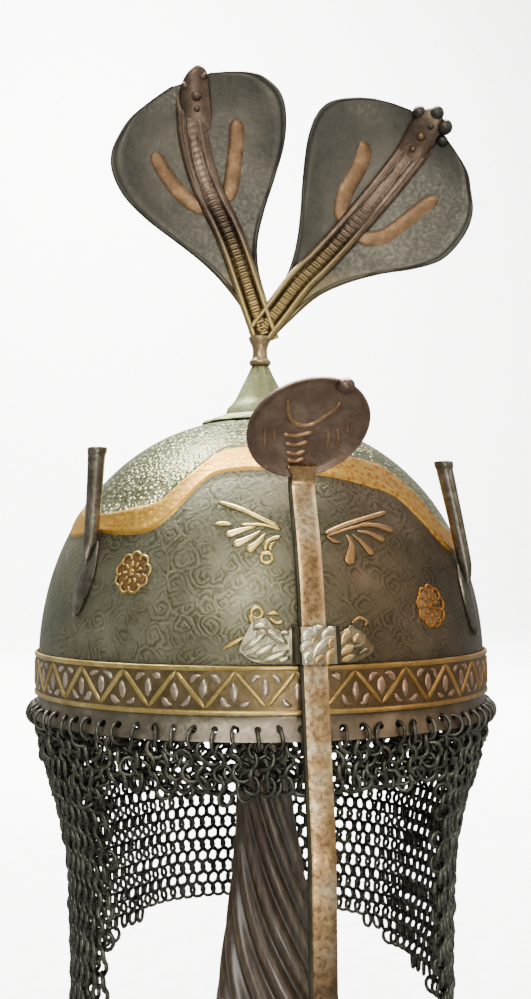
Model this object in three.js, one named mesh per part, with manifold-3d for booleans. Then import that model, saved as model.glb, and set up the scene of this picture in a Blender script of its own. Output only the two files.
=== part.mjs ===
// Indo-Persian helmet with cobra crest, sliding nasal and mail curtain, standing on a fluted column.
// Millimetres, +Z up, the nasal faces -Y. Heights below are counted from the rim's bottom edge;
// the helmet group then lifts everything so that the stand's foot rests on the floor.
import * as THREE from 'three';
import Module from 'manifold-3d';

const wasm = await Module();
wasm.setup();

// Driving dimensions, mm and degrees
const rimHeight = 240;            // rim's bottom edge above the floor
const bowlRadius = 105.5;         // outside of the bowl at its widest
const bowlWall = 2.4;
const sideTop = 22.7;             // the bowl's side is upright to here
const bowlTop = 139;              // outside of the crown
const rimRadius = 109;            // outside of the flared edge
const stripTop = 9.4;             // top of the plain strip with the holes
const holeCount = 80;
const holeRadius = 1.35;
const holeHeight = 4.6;
const pieceGap = 0.35;            // between neighbouring pieces
const bowlColumns = 80;           // one hole in the middle of each
const liningColumns = 40;
const holeSides = 4;

const bandBottom = 9.9;
const bandTop = 29.2;
const bandInner = 105.95;
const bandOuter = 106.7;
const bandRelief = 0.5;
const bandTeeth = 28;             // points of the zigzag all round
const bandTurn = -3.1;            // where one of the points stands
const bandEdge = 1.5;             // width of each raised border line
const bandLine = 1.5;             // width of the zigzag line

const crestTurn = -10.5;          // the crest is turned about the upright axis
const forkX = 2.3;                // where the two cobra necks meet
const forkHeight = 184;
const hoodThickness = 2;
const hoodCup = 0.0035;           // how far the hood's sides curve forward, per mm squared
const rungCount = 11;             // raised belly scales on each neck

const barWidth = 10.8;
const barThickness = 3.2;
const barSlope = 0.17;            // outward per mm downward on the straight part
const barRadius = 109.6;          // middle of the bar at the bracket
const barHeight = 36;
const barBend = -40;              // below this the bar hangs upright
const barBottom = -92;
const hoodLean = 35;              // the nasal's disc leans outward from the bowl
const hoodTwist = 8;
const ovalTwist = 18;             // the disc's long way against its pattern
const hoodHalfWidth = 25.3;
const hoodHalfHeight = 21.4;

const mailThickness = 3;
const mailTop = -0.5;             // the wall hangs just below the rim

const columnFlutes = 12;
const columnTop = 111;
const columnTwist = -1.2;         // degrees per mm of height
const columnLean = 0.05;          // mm to the right for each mm down, from leanTop on
const leanTop = -17;
const footRadius = 70;
const capBottom = 111.3;

const degrees = Math.PI / 180;

// Solids from points

function flipIfInsideOut(points, faces) {
  let volume = 0;
  for (const [i, j, k] of faces) {
    volume += points[i].dot(new THREE.Vector3().crossVectors(points[j], points[k]));
  }
  return volume < 0 ? faces.map(([i, j, k]) => [i, k, j]) : faces;
}

function solidGeometry(corners, triangles) {
  const known = new Map();
  const points = [];
  const ids = corners.map((p) => {
    const key = [p.x, p.y, p.z].map((v) => Math.round(v * 1e4)).join();
    if (!known.has(key)) {
      known.set(key, points.length);
      points.push(p);
    }
    return known.get(key);
  });
  const real = triangles.map((t) => t.map((i) => ids[i]))
    .filter(([i, j, k]) => i !== j && j !== k && i !== k);
  const faces = flipIfInsideOut(points, real);
  const geometry = new THREE.BufferGeometry();
  geometry.setAttribute('position', new THREE.Float32BufferAttribute(points.flatMap((p) => p.toArray()), 3));
  geometry.setIndex(faces.flat());
  return geometry;
}

function capTriangles(ring) {
  const normal = new THREE.Vector3();
  ring.forEach((p, i) => normal.add(new THREE.Vector3().crossVectors(p, ring[(i + 1) % ring.length])));
  normal.normalize();
  const across = new THREE.Vector3().subVectors(ring[1], ring[0]).normalize();
  const up = new THREE.Vector3().crossVectors(normal, across);
  return THREE.ShapeUtils.triangulateShape(ring.map((p) => new THREE.Vector2(p.dot(across), p.dot(up))), []);
}

// Rings of equal point count joined one to the next. A hoop joins the last ring to the first;
// otherwise the two end rings are closed with flat caps.
function ringSolid(rings, hoop = false) {
  const count = rings[0].length;
  const triangles = [];
  const last = hoop ? rings.length : rings.length - 1;
  for (let i = 0; i < last; i++) {
    const here = i * count;
    const next = ((i + 1) % rings.length) * count;
    for (let j = 0; j < count; j++) {
      const k = (j + 1) % count;
      triangles.push([here + j, here + k, next + j], [here + k, next + k, next + j]);
    }
  }
  if (!hoop) {
    const end = (rings.length - 1) * count;
    capTriangles(rings[0]).forEach(([i, j, k]) => triangles.push([i, k, j]));
    capTriangles(rings[rings.length - 1]).forEach(([i, j, k]) => triangles.push([end + i, end + j, end + k]));
  }
  return solidGeometry(rings.flat(), triangles);
}

// A profile of [radius, height] turned round the upright axis; both ends lie on the axis.
function turned(profile, columns, reshape = (radius) => radius) {
  const rings = profile.map(([radius, z]) => Array.from({ length: columns }, (_, i) => {
    const angle = (i / columns) * 360;
    return polar(angle, reshape(radius, z, angle), z);
  }));
  return ringSolid(rings);
}

// Angles are counted from the front (-Y), positive towards +X.
function polar(angle, radius, z) {
  return new THREE.Vector3(radius * Math.sin(angle * degrees), -radius * Math.cos(angle * degrees), z);
}

function toManifold(geometry) {
  return new wasm.Manifold(new wasm.Mesh({
    numProp: 3,
    vertProperties: new Float32Array(geometry.attributes.position.array),
    triVerts: new Uint32Array(geometry.index.array),
  }));
}

function fromManifold(solid) {
  const mesh = solid.getMesh();
  const geometry = new THREE.BufferGeometry();
  geometry.setAttribute('position', new THREE.Float32BufferAttribute(Array.from(mesh.vertProperties), 3));
  geometry.setIndex(Array.from(mesh.triVerts));
  return geometry;
}

function joined(first, ...others) {
  return fromManifold(others.reduce((sum, g) => sum.add(toManifold(g)), toManifold(first)));
}

function cut(geometry, tool) {
  return fromManifold(toManifold(geometry).subtract(toManifold(tool)));
}

function lookUp(table, key, column) {
  const last = table.length - 1;
  if (key <= table[0][0]) {
    return table[0][column];
  }
  for (let i = 0; i < last; i++) {
    if (key <= table[i + 1][0]) {
      const share = (key - table[i][0]) / (table[i + 1][0] - table[i][0]);
      return table[i][column] + share * (table[i + 1][column] - table[i][column]);
    }
  }
  return table[last][column];
}

function addMesh(group, name, geometry, color, metalness, roughness) {
  geometry.computeVertexNormals();
  const mesh = new THREE.Mesh(geometry, new THREE.MeshStandardMaterial({ color, metalness, roughness }));
  mesh.name = name;
  group.add(mesh);
}

// Bowl

function outsideRadius(z) {
  if (z < stripTop) {
    return bowlRadius + (rimRadius - bowlRadius) * ((stripTop - z) / stripTop) ** 1.5;
  }
  const rise = Math.max(0, (z - sideTop) / (bowlTop - sideTop));
  return bowlRadius * Math.max(0, 1 - rise ** 2.06) ** (1 / 2.2);
}

function outsideHeight(radius) {
  return sideTop + (bowlTop - sideTop) * (1 - (radius / bowlRadius) ** 2.2) ** (1 / 2.06);
}

// Gilt border of the crown: angle from the front, its lower edge and its upper edge
const crownBorder = [
  [-180, 79, 89], [-160, 80, 92], [-148, 92, 105], [-135, 104, 116], [-120, 106, 118], [-105, 103, 115],
  [-92, 92, 104], [-80, 82, 93], [-60, 82.4, 91], [-48, 81, 93], [-40, 82.5, 96], [-35, 88.5, 105],
  [-30, 99.5, 112.5], [-25, 106, 118], [-10, 108, 119.5], [13, 105, 117.5], [25, 101.5, 115.5],
  [34, 97.5, 114], [40, 88, 112], [46, 77.5, 103], [52, 73.3, 89], [62, 72.5, 83], [76, 76, 87],
  [90, 92, 105], [105, 103, 115], [120, 106, 118], [135, 104, 116], [148, 92, 105], [160, 80, 92],
  [180, 79, 89],
];
const borderRelief = 0.5;
const crownSteps = [30, 0];   // radii where the crown's facets meet

function bowlRings() {
  const rings = [0, 2.6, stripTop, sideTop].map((z) => () => [outsideRadius(z), z]);
  for (const share of [0.5, 1]) {
    rings.push((low) => {
      const z = sideTop + share * (low - sideTop);
      return [outsideRadius(z), z];
    });
  }
  rings.push((low) => [outsideRadius(low) + borderRelief * 0.8, low + 0.8]);
  rings.push((low, high) => [outsideRadius(high) + borderRelief, high]);
  rings.push((low, high) => [outsideRadius(high + 0.9), high + 0.9]);
  for (const share of [0.66, 0.25]) {
    rings.push((low, high) => {
      const radius = crownSteps[0] + share * (outsideRadius(high + 0.9) - crownSteps[0]);
      return [radius, outsideHeight(radius)];
    });
  }
  for (const radius of crownSteps) {
    rings.push(() => [radius, outsideHeight(radius)]);
  }
  return rings;
}

function bowlOutside() {
  const places = bowlRings();
  const rings = [[]].concat(places.map(() => []));
  for (let i = 0; i < bowlColumns; i++) {
    const angle = -180 + (i / bowlColumns) * 360;
    const low = lookUp(crownBorder, angle, 1);
    const high = lookUp(crownBorder, angle, 2);
    rings[0].push(new THREE.Vector3(0, 0, 0));
    places.forEach((at, j) => {
      const [radius, z] = at(low, high);
      rings[j + 1].push(polar(angle, radius, z));
    });
  }
  return ringSolid(rings);
}

// Inside of the bowl above its upright side; the crown's wall is a little under the full wall's height
const liningSteps = [97, 82, 62, 38, 20, 0];   // radii where the lining's facets meet
const capSteps = liningSteps.slice(-3);

function liningHeight(radius) {
  const turn = Math.acos(radius / (bowlRadius - bowlWall));
  return outsideHeight(radius * bowlRadius / (bowlRadius - bowlWall)) - bowlWall * Math.sin(turn);
}

function bowlHollow() {
  const profile = [[0, -1], [rimRadius - bowlWall + 0.4, -1], [rimRadius - bowlWall, 0]];
  for (const z of [2.2, stripTop, sideTop]) {
    profile.push([outsideRadius(z) - bowlWall, z]);
  }
  liningSteps.forEach((radius) => profile.push([radius, liningHeight(radius)]));
  return turned(profile, liningColumns);
}

function rimHoles() {
  const triangles = [];
  const corners = [];
  for (let i = 0; i < holeCount; i++) {
    const angle = ((i + 0.5) / holeCount) * 360;
    const side = polar(angle + 90, 1, 0);
    const ends = [bowlRadius - 5, rimRadius + 3].map((radius) => Array.from({ length: holeSides }, (_, k) => {
      const turn = (k / holeSides) * 2 * Math.PI;
      return polar(angle, radius, holeHeight + holeRadius * Math.sin(turn))
        .addScaledVector(side, holeRadius * Math.cos(turn));
    }));
    const hole = ringSolid(ends);
    const start = corners.length;
    const at = hole.attributes.position;
    for (let j = 0; j < at.count; j++) {
      corners.push(new THREE.Vector3().fromBufferAttribute(at, j));
    }
    for (let j = 0; j < hole.index.count; j += 3) {
      triangles.push([0, 1, 2].map((k) => start + hole.index.getX(j + k)));
    }
  }
  return solidGeometry(corners, triangles);
}

// Brow band: a hoop with two raised border lines and a raised zigzag between them
function browBand() {
  const outer = bandOuter + bandRelief;
  const low = bandBottom + bandEdge;
  const high = bandTop - bandEdge;
  const valley = low + 0.8;
  const peak = high - 0.8 - bandLine;
  const rings = [];
  const columns = bandTeeth * 2;
  const straight = (radius, z) => rings.push(Array.from({ length: columns }, (_, i) => (
    polar(bandTurn + (i / columns) * 360, radius, z))));
  const zigzag = (radius, shift) => rings.push(Array.from({ length: columns }, (_, i) => (
    polar(bandTurn + (i / columns) * 360, radius, (i % 2 ? valley : peak) + shift))));
  straight(bandInner, bandBottom);
  straight(outer, bandBottom);
  straight(outer, low);
  straight(bandOuter, low);
  zigzag(bandOuter, 0);
  zigzag(outer, 0.15);
  zigzag(outer, bandLine - 0.15);
  zigzag(bandOuter, bandLine);
  straight(bandOuter, high);
  straight(outer, high);
  straight(outer, bandTop);
  straight(bandInner, bandTop);
  return ringSolid(rings, true);
}

// Crown: a round plate with a lobed edge that rises to a hollow-sided cone
const plateRadius = 28;
const plateLobes = 12;

function crownCone() {
  const seat = (radius) => outsideHeight(radius) + pieceGap;
  const profile = [[0, seat(0)], [plateRadius - 1, seat(plateRadius - 1)]];
  profile.push([plateRadius, seat(plateRadius) + 0.7], [plateRadius - 1, seat(plateRadius - 1) + 1.8]);
  profile.push([20, seat(20) + 2.4], [15.6, 145.3], [12.4, 149.6], [9.4, 155.6], [6.4, 161]);
  profile.push([4.6, coneTip], [0, coneTip]);
  return turned(profile, plateLobes * 3, (radius, z, angle) => (
    radius > plateRadius - 2 ? radius + 0.7 * Math.cos(plateLobes * angle * degrees) : radius));
}

const coneTip = 165.6;
const stemTop = 180.4;

function finialStem() {
  const foot = coneTip + pieceGap;
  const profile = [[0, foot], [4.7, foot], [5.4, foot + 1.5], [4.9, foot + 2.9], [3.6, 171], [3.7, 175],
    [5.4, 179], [5.6, stemTop], [0, stemTop]];
  return turned(profile, 12);
}

// Cobras. Each row: distance up the neck, left half width, right half width, shift of the neck's middle
const leftCobra = {
  lean: -19,
  rows: [
    [-6, 5.4, 5.4, -1.2], [12, 6.8, 6.2, -0.9], [30, 12, 7.6, -0.4], [44, 18.6, 11.8, -0.2],
    [58, 27.6, 20.3, -0.9], [72, 37.1, 30.9, -2.6], [86, 43.9, 40.7, -3.1], [99, 45.5, 46, -2.1],
    [109, 42.4, 46.8, -0.4], [117, 35.3, 43.3, 2], [123, 27, 37.5, 3.8],
    [127.5, 15, 27, 6], [130, 5, 18, 8],
  ],
  arms: [[[103, -20], [88, -18], [70, -12.5]], [[105, 23.5], [90, 18], [74, 10]]],
  head: 8,
};
const rightCobra = {
  lean: 38,
  rows: [
    [-6, 5.4, 5.4, -0.7], [12, 6.5, 7.2, -1], [30, 9.1, 10.3, -1.5], [44, 14.5, 17.2, 0], [58, 22.6, 27.8, 1.1],
    [70, 30.7, 39.9, 1.8], [80, 37, 47.5, 2.4], [90, 42.5, 49.6, 2.8], [101, 45.8, 48.8, 3.1],
    [110, 44.5, 45.1, 3.2], [118, 38, 37.8, 3.2], [124, 30, 31, 2.6],
    [128.5, 20, 20.5, 1.6], [131, 11, 12, 0.8],
  ],
  arms: [[[104, -18.5], [90, -12], [68, -6.5]], [[106, 28], [90, 21.5], [67, 14.5]]],
  head: 1.4,
};

// The side view of a neck: it bows back and then nods forward
function nod(s) {
  return -7 * Math.sin(Math.PI * Math.min(Math.max(s, 0), 140) / 140) + 0.008 * Math.max(0, s - 110) ** 2;
}

// From a cobra's own place (up the neck, across, forward) to the helmet's
function cobraPoint(cobra, s, across, forward) {
  const lean = cobra.lean * degrees;
  const x = forkX + s * Math.sin(lean) + across * Math.cos(lean);
  const z = forkHeight + s * Math.cos(lean) - across * Math.sin(lean);
  return new THREE.Vector3(x, -forward, z).applyAxisAngle(new THREE.Vector3(0, 0, 1), crestTurn * degrees);
}

function hoodMiddle(s, across) {
  return nod(s) + hoodCup * across * across;
}

function cobraSheet(cobra) {
  const steps = [-1, -0.6, 0, 0.6, 1];
  return ringSolid(cobra.rows.map(([s, left, right]) => {
    const face = (side) => steps.map((step) => {
      const across = step < 0 ? step * left : step * right;
      return cobraPoint(cobra, s, across, hoodMiddle(s, across) + side * hoodThickness / 2);
    });
    return face(1).concat(face(-1).reverse());
  }));
}

function neckLadder(cobra) {
  const from = -5;
  const to = 128;
  const ridge = 2.2;
  const pitch = (to - from) / rungCount;
  const rings = [];
  for (let i = 0; i < rungCount; i++) {
    for (const [share, floor] of [[0.05, 2.6], [0.95, 1.1]]) {
      const s = from + (i + share) * pitch;
      const half = 6.3 + 2 * (s - from) / (to - from);
      const middle = lookUp(cobra.rows, s, 3);
      const lift = hoodThickness / 2 + nod(s);
      const section = [[-half, -1.8], [-half + 0.5, 3.2], [-half + ridge, 3.2], [-half + ridge + 0.6, floor],
        [half - ridge - 0.6, floor], [half - ridge, 3.2], [half - 0.5, 3.2], [half, -1.8]];
      rings.push(section.map(([across, forward]) => cobraPoint(cobra, s, middle + across, lift + forward)));
    }
  }
  return ringSolid(rings);
}

function markArm(cobra, line) {
  const half = 3.2;
  return ringSolid(line.map(([s, across]) => [[-half, 0.2], [-half, 1.6], [half, 1.6], [half, 0.2]]
    .map(([side, forward]) => cobraPoint(cobra, s, across + side, hoodMiddle(s, across + side) + forward))));
}

function cobraHead(cobra) {
  const headAt = 127;
  const size = { across: 7.8, along: 9, forward: 7.5 };
  const turns = [-75, -30, 25, 75];
  return ringSolid(turns.map((turn) => Array.from({ length: 8 }, (_, i) => {
    const round = (i / 8) * 2 * Math.PI;
    const out = Math.cos(turn * degrees);
    return cobraPoint(cobra, headAt + size.along * Math.sin(turn * degrees),
      cobra.head + size.across * out * Math.cos(round), nod(headAt) + 4 + size.forward * out * Math.sin(round));
  })));
}

// Each neck keeps to its own side of the upright plane between the two
function cobraSolid(cobra) {
  const whole = joined(cobraSheet(cobra), neckLadder(cobra), cobraHead(cobra),
    ...cobra.arms.map((line) => markArm(cobra, line)));
  const side = Math.sign(cobra.lean);
  const reach = 60;
  const between = (leftCobra.lean + rightCobra.lean) / 2;
  const beside = new THREE.Matrix4().makeRotationZ(crestTurn * degrees)
    .multiply(new THREE.Matrix4().makeTranslation(forkX, 0, forkHeight))
    .multiply(new THREE.Matrix4().makeRotationY(between * degrees))
    .multiply(new THREE.Matrix4().makeTranslation(side * (pieceGap / 2 - reach / 2), 0, 0));
  const below = new THREE.Matrix4().makeTranslation(0, 0, stemTop + pieceGap - reach / 2);
  const cubeAt = (matrix) => {
    const corners = [[-1, -1], [1, -1], [1, 1], [-1, 1]];
    return ringSolid([-1, 1].map((z) => corners.map(([x, y]) => (
      new THREE.Vector3(x, y, z).multiplyScalar(reach / 2).applyMatrix4(matrix)))));
  };
  return cut(cut(whole, cubeAt(beside)), cubeAt(below));
}

// Nasal: a bar that slides behind the bracket, with a cobra's hood on top and a leaf below
function barMiddle(z) {
  const straightEnd = barRadius - barSlope * (barBend - barHeight);
  if (z < barBend) {
    return straightEnd + 0.012 * (barBend - z);
  }
  return barRadius - barSlope * (z - barHeight);
}

// Upper part of the bar, where it follows the bowl: height and distance of its middle from the axis
const barUpper = [[68, 103.2], [80, 99.4], [90, 95], [98, 92], [102.5, 91.6], [108.5, 95.2]];

function nasalBar() {
  const path = [barBottom - 16, barBottom - 9, barBottom, -62, barBend, 0, barHeight, 56]
    .map((z) => [z, barMiddle(z)]).concat(barUpper);
  const halves = [0.6, 6.6, barWidth / 2];
  return ringSolid(path.map(([z, radius], i) => {
    const half = halves[Math.min(i, 2)];
    const [lowZ, lowR] = path[Math.max(i - 1, 0)];
    const [highZ, highR] = path[Math.min(i + 1, path.length - 1)];
    const along = new THREE.Vector2(highZ - lowZ, highR - lowR).normalize();
    const face = barThickness / 2;
    const bevel = 1;
    const section = [[-half, -face], [-half, face - bevel], [-half * 0.6, face], [half * 0.6, face],
      [half, face - bevel], [half, -face]];
    return section.map(([across, out]) => (
      new THREE.Vector3(across, -(radius + out * along.x), z - out * along.y)));
  }));
}

// The disc's own place: across, up its face, and forward from it
function discPoint(across, up, forward) {
  const twist = hoodTwist * degrees;
  const x = across * Math.cos(twist) - up * Math.sin(twist);
  const rise = across * Math.sin(twist) + up * Math.cos(twist);
  const lean = hoodLean * degrees;
  const centre = { out: 104.5, z: 122.6 };
  return new THREE.Vector3(x, -(centre.out + rise * Math.sin(lean) + forward * Math.cos(lean)),
    centre.z + rise * Math.cos(lean) - forward * Math.sin(lean));
}

function discForward(across, up) {
  return 3 * ((across / hoodHalfWidth) ** 2 + (up / hoodHalfHeight) ** 2) - 3;
}

function nasalDisc() {
  const count = 18;
  const rows = [[0, 1], [0.6, 1], [1, 1.4], [1, -1], [0, -1]];
  return ringSolid(rows.map(([share, side]) => Array.from({ length: count }, (_, i) => {
    const turn = (i / count) * 2 * Math.PI;
    const tilt = ovalTwist * degrees;
    const long = share * hoodHalfWidth * Math.cos(turn);
    const short = share * hoodHalfHeight * Math.sin(turn);
    const across = long * Math.cos(tilt) - short * Math.sin(tilt);
    const up = long * Math.sin(tilt) + short * Math.cos(tilt);
    return discPoint(across, up, discForward(across, up) + side);
  })));
}

function discStroke(line, half) {
  return ringSolid(line.map(([across, up], i) => {
    const [a, b] = [line[Math.max(i - 1, 0)], line[Math.min(i + 1, line.length - 1)]];
    const way = new THREE.Vector2(b[0] - a[0], b[1] - a[1]).normalize();
    return [[-half, 0.4], [-half * 0.5, 2], [half * 0.5, 2], [half, 0.4]].map(([side, forward]) => {
      const p = [across - side * way.y, up + side * way.x];
      return discPoint(p[0], p[1], discForward(...p) + forward);
    });
  }));
}

function nasalSolid() {
  const strokes = [[[-10, 15], [-10, 9], [-6.5, 4.5], [0, 3.4], [6.5, 4.5], [11, 8.5], [19, 9.5]]
    .map(([across, up]) => [across + 1, up])];
  for (const up of [-1, -7, -13]) {
    strokes.push([[-6 - up * 0.08, up], [6 + up * 0.08, up]]);
  }
  for (const across of [-17, 16]) {
    strokes.push([[across, 2], [across * 1.02, -8]]);
  }
  const tip = ringSolid([-70, -10, 60].map((turn) => Array.from({ length: 6 }, (_, i) => {
    const round = (i / 6) * 2 * Math.PI;
    const out = 4.4 * Math.cos(turn * degrees);
    const up = 17.6 + 3.8 * Math.sin(turn * degrees);
    return discPoint(15.4 + out * Math.cos(round), up, 1.4 + out * Math.sin(round));
  })));
  return joined(nasalBar(), nasalDisc(), tip, ...strokes.map((line) => discStroke(line, 1)));
}

// Bracket: a leaf-shaped plate on the bowl with a bridge over the bar
// Each row: angle from the front, lower edge, upper edge
const bracketLeaf = [
  [-15, 34.2, 36.2], [-12.5, 31, 46], [-9.8, 29.8, 47.5], [-6, 29.8, 42], [-3, 29.8, 44], [3, 29.8, 44],
  [6, 29.8, 41], [9.2, 29.8, 44], [11.8, 31, 41.5], [14.3, 33.8, 35.6],
];

function nasalBracket() {
  const back = 0.45;
  const front = 1.5;
  const plate = ringSolid(bracketLeaf.map(([angle, low, high]) => (
    [[low, back], [low, front], [high, front], [high, back]]
      .map(([z, out]) => polar(angle, outsideRadius(z) + out, z)))));
  const inner = barWidth / 2 + 0.5;
  const left = -7.4;
  const right = 10.6;
  const bridge = ringSolid([30.2, 44.4].map((z) => {
    const over = barMiddle(z) + barThickness / 2 + 0.5;
    const root = outsideRadius(z) + 1;
    return [[left, root], [left, over + 1.2], [left + 1.2, over + 2.4], [right - 2, over + 2.4],
      [right, over + 1.2], [right, root], [inner, root], [inner, over], [-inner, over], [-inner, root]]
      .map(([x, radius]) => new THREE.Vector3(x, -radius, z));
  }));
  return joined(plate, bridge);
}

// Plume tubes: angle, height and distance from the axis at the leaf, the foot and the mouth
const plumeTubes = {
  plume_tube_left: { angles: [-58.9, -58.4], foot: 81, mouth: 119, mouthRadius: 94.5 },
  plume_tube_right: { angles: [52.8, 49.8], foot: 71, mouth: 114, mouthRadius: 94 },
};

function plumeTube({ angles, foot, mouth, mouthRadius }) {
  const sides = 12;
  const footOut = outsideRadius(foot) + 3.9;
  const stations = [
    [foot - 12, outsideRadius(foot - 12) + 1.9, 0.9], [foot - 6, outsideRadius(foot - 6) + 3, 2.2],
    [foot, footOut, 3.1], [(foot + mouth) / 2, (footOut + mouthRadius) / 2, 3.5], [mouth, mouthRadius, 4.2],
  ];
  const ringAt = ([z, radius, size]) => Array.from({ length: sides }, (_, i) => {
    const share = Math.max(0, (z - foot) / (mouth - foot));
    const angle = angles[0] + share * (angles[1] - angles[0]);
    const turn = (i / sides) * 2 * Math.PI;
    const side = polar(angle + 90, 1, 0);
    return polar(angle, radius + size * Math.sin(turn), z).addScaledVector(side, size * Math.cos(turn));
  });
  const boreDepth = 24;
  const boreEnd = mouthRadius + boreDepth * (footOut - mouthRadius) / (mouth - foot);
  const bore = [[mouth, mouthRadius, 3.6], [mouth - boreDepth, boreEnd, 2.8]];
  const tube = ringSolid(stations.map(ringAt).concat(bore.map(ringAt)));
  const leaf = ringSolid([[-34, 0.5], [-27, 4.2], [-18, 6.6], [-8, 5], [-2, 2.2]].map(([drop, half]) => {
    const z = foot + drop;
    const turn = half / outsideRadius(z) / degrees;
    return [[-turn, 0.4], [-turn * 0.9, 1.3], [0, 2.1], [turn * 0.9, 1.3], [turn, 0.4]]
      .map(([side, out]) => polar(angles[0] + side, outsideRadius(z) + out, z));
  }));
  return joined(tube, leaf);
}

// Mail: a short fringe over the brow and a long curtain round the sides and back.
// Each row: angle from the front, height of the hem
const mailHem = [
  [-180, -112], [-169, -112], [-158, -113], [-146, -116], [-134, -121], [-122, -129], [-112, -133],
  [-101, -139], [-90, -146], [-81, -154], [-73, -160], [-67, -157], [-64, -138], [-61, -113], [-58.5, -85],
  [-56, -58], [-53.5, -36], [-51, -23], [-38, -22], [-25, -22], [-12, -22], [0, -22], [12, -22], [25, -23],
  [37.5, -24], [41, -42], [45, -64], [49, -87], [53, -110], [56, -137], [59, -155], [66, -160], [76, -154],
  [88, -145], [101, -139], [112, -133], [122, -129], [134, -121], [146, -116], [158, -113], [169, -112],
];
// Each row: height, distance of the wall's middle from the axis
const mailDrape = [[-165, 87], [-110, 87.6], [-64, 90], [-40, 95], [-20, 101], [-8, 103.6], [0, 104.8]];
const mailRows = [0, 0.08, 0.28, 0.6, 1];

function mailCurtain() {
  const ring = (share, side) => mailHem.map(([angle, hem]) => {
    const z = mailTop + share * (hem - mailTop);
    const fold = 1.2 * share * Math.cos(angle * 9 * degrees);
    return polar(angle, lookUp(mailDrape, z, 1) + fold + side * mailThickness / 2, z);
  });
  const outside = mailRows.map((share) => ring(share, 1));
  const inside = mailRows.map((share) => ring(share, -1)).reverse();
  return ringSolid(outside.concat(inside), true);
}

// Stand: a column with turning flutes, a domed cap under the crown and a round foot
// Each row: height, radius of the column at the ridges between its flutes
const columnShape = [
  [-225.6, 45], [-216, 39], [-200, 35.5], [-178, 33], [-155, 30.5], [-132, 27.3], [-109, 23.2], [-86, 19],
  [-63, 15.6], [-40, 13.3], [leanTop, 12.4], [10, 12], [35, 11.9], [60, 12], [85, 12.6], [columnTop, 14],
];

function columnMiddle(z) {
  return new THREE.Vector3(columnLean * Math.max(0, leanTop - z), 0, 0);
}

function standColumn() {
  const perFlute = 2;
  const count = columnFlutes * perFlute;
  return ringSolid(columnShape.map(([z, radius]) => Array.from({ length: count }, (_, i) => {
    const depth = i % perFlute ? 0.13 * radius : 0;
    return polar((i / count) * 360 + columnTwist * z, radius - depth, z).add(columnMiddle(z));
  })));
}

function standCap() {
  const profile = [[0, capBottom], [15, capBottom], [28, 114], [capSteps[0] - 1, 121]];
  capSteps.forEach((radius) => profile.push([radius, liningHeight(radius) - pieceGap]));
  return turned(profile, liningColumns / 2);
}

function standFoot() {
  const floor = -rimHeight;
  const profile = [[0, floor], [footRadius, floor], [footRadius + 1, floor + 2], [footRadius, floor + 6],
    [footRadius - 5, floor + 9], [50, floor + 14], [0, floor + 14]];
  return turned(profile, 24).translate(columnMiddle(floor).x, 0, 0);
}

const group = new THREE.Group();
group.name = 'indo_persian_helmet';
const helmet = new THREE.Group();
helmet.name = 'helmet_at_height';
helmet.position.z = rimHeight;
group.add(helmet);

addMesh(helmet, 'bowl', cut(cut(bowlOutside(), bowlHollow()), rimHoles()), 0x5d5a48, 0.8, 0.5);
addMesh(helmet, 'brow_band', browBand(), 0x8a6c3a, 0.8, 0.45);
addMesh(helmet, 'crown_cone', crownCone(), 0x7f8a5e, 0.6, 0.5);
addMesh(helmet, 'finial_stem', finialStem(), 0x6b5640, 0.8, 0.45);
addMesh(helmet, 'cobra_left', cobraSolid(leftCobra), 0x54483e, 0.8, 0.45);
addMesh(helmet, 'cobra_right', cobraSolid(rightCobra), 0x54483e, 0.8, 0.45);
addMesh(helmet, 'nasal_bar', nasalSolid(), 0x8c5f42, 0.8, 0.4);
addMesh(helmet, 'nasal_bracket', nasalBracket(), 0x9a8460, 0.8, 0.4);
for (const [name, tube] of Object.entries(plumeTubes)) {
  addMesh(helmet, name, plumeTube(tube), 0x4e4a42, 0.8, 0.45);
}
addMesh(helmet, 'mail_curtain', mailCurtain(), 0x3f3d3b, 0.8, 0.5);
addMesh(helmet, 'stand_column', standColumn(), 0x3d2b20, 0.1, 0.5);
addMesh(helmet, 'stand_cap', standCap(), 0x3d2b20, 0.1, 0.6);
addMesh(helmet, 'stand_foot', standFoot(), 0x3d2b20, 0.1, 0.5);

export default group;
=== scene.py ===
# Indo-Persian helmet with a cobra crest, a sliding nasal and a mail curtain, on a fluted wooden stand.
# Shapes are worked out in millimetres from the rim's bottom edge and moved to the row frame at the end.
import math
import random

import bmesh
import bpy
from mathutils import Matrix, Vector


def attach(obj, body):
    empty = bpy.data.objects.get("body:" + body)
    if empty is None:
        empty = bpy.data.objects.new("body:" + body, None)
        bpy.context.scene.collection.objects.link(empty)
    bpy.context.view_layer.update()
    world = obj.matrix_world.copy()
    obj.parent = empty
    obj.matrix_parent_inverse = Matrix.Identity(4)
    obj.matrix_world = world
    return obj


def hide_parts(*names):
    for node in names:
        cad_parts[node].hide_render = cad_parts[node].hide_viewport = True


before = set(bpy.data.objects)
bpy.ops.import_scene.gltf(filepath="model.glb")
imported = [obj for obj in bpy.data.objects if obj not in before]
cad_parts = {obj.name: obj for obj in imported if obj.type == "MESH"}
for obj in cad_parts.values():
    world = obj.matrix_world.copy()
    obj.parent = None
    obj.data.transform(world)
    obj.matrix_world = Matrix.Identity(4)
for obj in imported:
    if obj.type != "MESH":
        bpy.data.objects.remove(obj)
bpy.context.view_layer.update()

rimHeight = 240
toRow = Matrix.Translation((0, 0, rimHeight * 0.001)) @ Matrix.Scale(0.001, 4)


# Working tools: tables, curves and sheets

def polar(angle, radius, z):
    # Angles are counted from the front (-Y), positive towards +X
    turn = math.radians(angle)
    return Vector((radius * math.sin(turn), -radius * math.cos(turn), z))


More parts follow.
